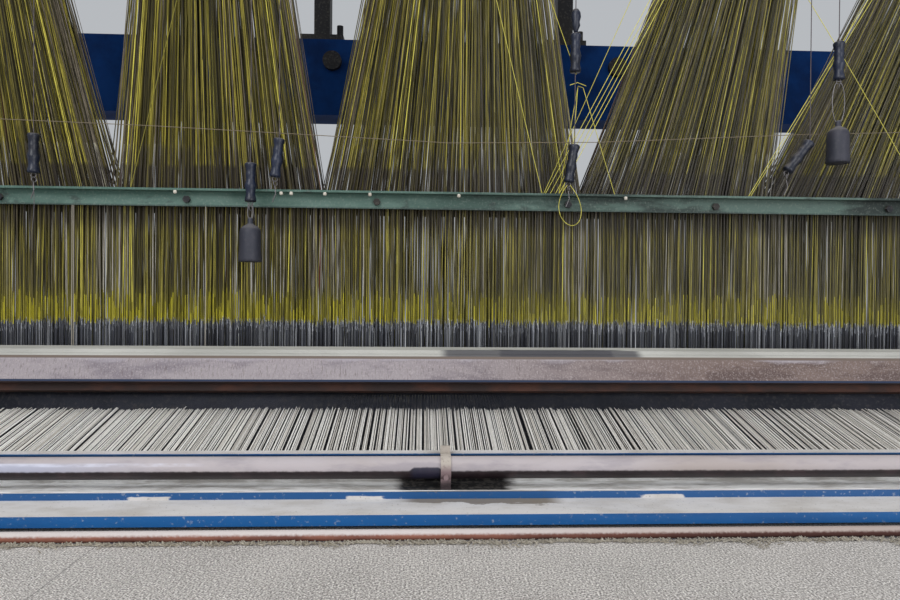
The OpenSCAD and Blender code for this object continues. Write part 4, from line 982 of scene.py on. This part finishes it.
# x and height round the small loop below the fourth grip
loop = np.array([
    (0.2085, 1.366), (0.1975, 1.350), (0.1919, 1.326), (0.1985, 1.303), (0.2165, 1.2894),
    (0.2325, 1.298), (0.2367, 1.321), (0.2290, 1.346), (0.2140, 1.367),
])
for _ in range(2):
    # cutting the corners twice turns the traced points into a smooth loop
    early, late = loop[:-1] * 0.75 + loop[1:] * 0.25, loop[:-1] * 0.25 + loop[1:] * 0.75
    loop = np.concatenate([loop[:1], np.stack([early, late], axis=1).reshape(-1, 2), loop[-1:]])
routes.append(points(loop[:, 0], 0.317, loop[:, 1]))
a += [p for q in routes for p in q[:-1]]
b += [p for q in routes for p in q[1:]]
fresh = random.uniform(0.4, 1, len(a))
fresh[len(TIED) - 1] = 0
strands("tied_cords", a, b, 0.00062, fresh, BRIGHT, "frame", "harness_cord", sides=5)

# the cross string's points, each x, depth and height
SAG = [
    (-1.135, 0.378, 1.502), (-0.818, 0.340, 1.4746), (-0.553, 0.335, 1.4662),
    (-0.283, 0.332, 1.4548), (-0.008, 0.330, 1.4433), (0.273, 0.332, 1.4501),
    (0.463, 0.334, 1.461), (0.655, 0.336, 1.4721), (0.850, 0.342, 1.4813), (1.135, 0.378, 1.498),
]
line = points(*np.array(SAG).T)
# three pale strings hang in front of the harness
hung = [route([x, x], 0.362, [BOARD[0], 1.03]) for x in (-0.7075, -0.7045, -0.4630)]
routes = [line, *hung]
a = np.concatenate([q[:-1] for q in routes])
b = np.concatenate([q[1:] for q in routes])
tint = np.r_[np.zeros(len(line) - 1), 0.9, 0.7, 1.0]
strands("cross_string", a, b, 0.0007, tint, PALE, "frame", "harness_cord", sides=5)
tail = route(
    [-0.7515, -0.7497, -0.7547, -0.7564], [0.318, 0.3165, 0.319, 0.322], [1.357, 1.3165, 1.2683, 1.2362]
)
strands("hanger_tail_1", tail[:-1], tail[1:], 0.0006, 0.3, GALV, "hang_1", "worn_steel", sides=5)

KNOT = [(0.05, 0), (2.2, 0.4), (3.3, 2.0), (3.0, 3.6), (3.4, 5.0), (1.8, 6.4), (0.05, 6.6)]
for k, x in enumerate((-0.505, -0.315, -0.297, -0.236, -0.154, 0.009, 0.320), 1):
    at, cotton = (x, FELL + 0.3225, 1.348), MAT["cotton_knot"]
    lathe(f"rail_knot_{k}", KNOT, at, 0, cotton, "frame", segments=10)

# Lint that the cloth has shed in front of the press bar
n = 5000
x = random.uniform(-HALF + 0.01, HALF - 0.01, n)
clump = np.interp(x, np.linspace(-HALF, HALF, 120), random.gamma(2.0, 0.5, 120))
d = -0.1885 - random.gamma(1.5, 0.0016, n) * clump
turn = random.uniform(0, math.pi, n)
long = random.uniform(0.0015, 0.004, n)
a = points(x - long * np.cos(turn), d - long * np.sin(turn) * 0.4, 0.9003)
b = points(x + long * np.cos(turn), d + long * np.sin(turn) * 0.4, 0.9006 + random.uniform(0, 0.0034, n))
strands("cloth_lint", a, b, 0.00055, random.uniform(0.3, 1, n), PALE, "frame", "cloth_fabric")

# %% [markdown]
# ## Finishes on the CAD parts
# Every CAD part that is still shown gets the finish of its own material, and edges a narrow
# rounding so that they catch light as painted castings do.

# %% CAD parts
OWN = {
    "temple_rail": "rail_paint",
    "comber_rails": "comber_rail_paint",
    "shaft_straps": "strap_paint",
    "press_bar": "press_bar_rust",
    "cloth_roll": "cloth_fabric",
    "warp_beam": "warp_yarn",
}
# wound cloth and yarn look ribbed round their roller, so the grain is drawn out across X
MAT["cloth_fabric"] = grimy("wound_cloth", "#a9a39c", "#8f8982", rough=0.95, grain=(14, 1, 1))
MAT["warp_yarn"] = grimy("wound_warp", "#b9b5ae", "#a39e96", rough=0.95, grain=(30, 1, 1))
slots = {s["node"]: s["material_slot"] for s in frame["record"]["subparts"]}
for name, obj in frame["nodes"].items():
    if obj.hide_render:
        continue
    key = OWN.get(name, slots[name])
    if name.startswith(("gantry", "cross_beam", "low_beam")):
        key = "gantry_paint"
    obj.data.materials.clear()
    obj.data.materials.append(MAT[key])
    edge = obj.modifiers.new("edge", "BEVEL")
    edge.width = 0.0012
    edge.segments = 2
    edge.limit_method = "ANGLE"
    edge.angle_limit = math.radians(40)
print(len(frame["nodes"]), "CAD parts finished")

# %% [markdown]
# ## Floor, light and camera
# A pale studio floor and soft light from the front and above, as from the shed's windows. The
# camera stands at the weaver's place, level and turned slightly to the right.

# %% Studio
def studio():
    mesh = bpy.data.meshes.new("floor")
    mesh.from_pydata([(-9, -9, 0), (9, -9, 0), (9, 9, 0), (-9, 9, 0)], [], [(0, 1, 2, 3)])
    m, t = new_material("pale_floor")
    close(t, rgb("#d8d6d2"), 0.9)
    mesh.materials.append(m)
    floor = bpy.data.objects.new("floor", mesh)
    bpy.context.scene.collection.objects.link(floor)
    world = bpy.data.worlds.new("studio")
    bpy.context.scene.world = world
    world.use_nodes = True
    back = world.node_tree.nodes["Background"]
    back.inputs[0].default_value = rgb("#dfe3e8")
    back.inputs[1].default_value = 0.64
    for name, at, aim, size, power in (
        ("key", (-1.6, -3.4, 3.4), (0, -0.2, 1.0), 2.2, 75),
        ("fill", (2.2, -3.4, 1.6), (0, 0, 1.0), 2.6, 52),
        ("top", (0, -0.9, 4.6), (0, -0.4, 1.0), 2.6, 42),
    ):
        lamp = bpy.data.lights.new(name, "AREA")
        lamp.size, lamp.energy = size, power
        obj = bpy.data.objects.new(name, lamp)
        turn = (Vector(aim) - Vector(at)).to_track_quat("-Z", "Y")
        obj.matrix_world = Matrix.Translation(at) @ turn.to_matrix().to_4x4()
        bpy.context.scene.collection.objects.link(obj)


CAMERA_AT = (-0.056, -1.299, 1.162)
YAW, PITCH_UP, ROLL = math.radians(-2.4), math.radians(90 - 0.44), math.radians(0.46)


def camera():
    lens = bpy.data.cameras.new("camera")
    lens.lens, lens.sensor_width = 26.0, 36.0
    obj = bpy.data.objects.new("camera", lens)
    turn = Matrix.Rotation(YAW, 4, "Z") @ Matrix.Rotation(PITCH_UP, 4, "X")
    turn = turn @ Matrix.Rotation(ROLL, 4, "Z")
    obj.matrix_world = Matrix.Translation(CAMERA_AT) @ turn
    bpy.context.scene.collection.objects.link(obj)
    bpy.context.scene.camera = obj
    bpy.context.scene.view_settings.view_transform = "Standard"
    print("camera at", CAMERA_AT)


studio()
camera()
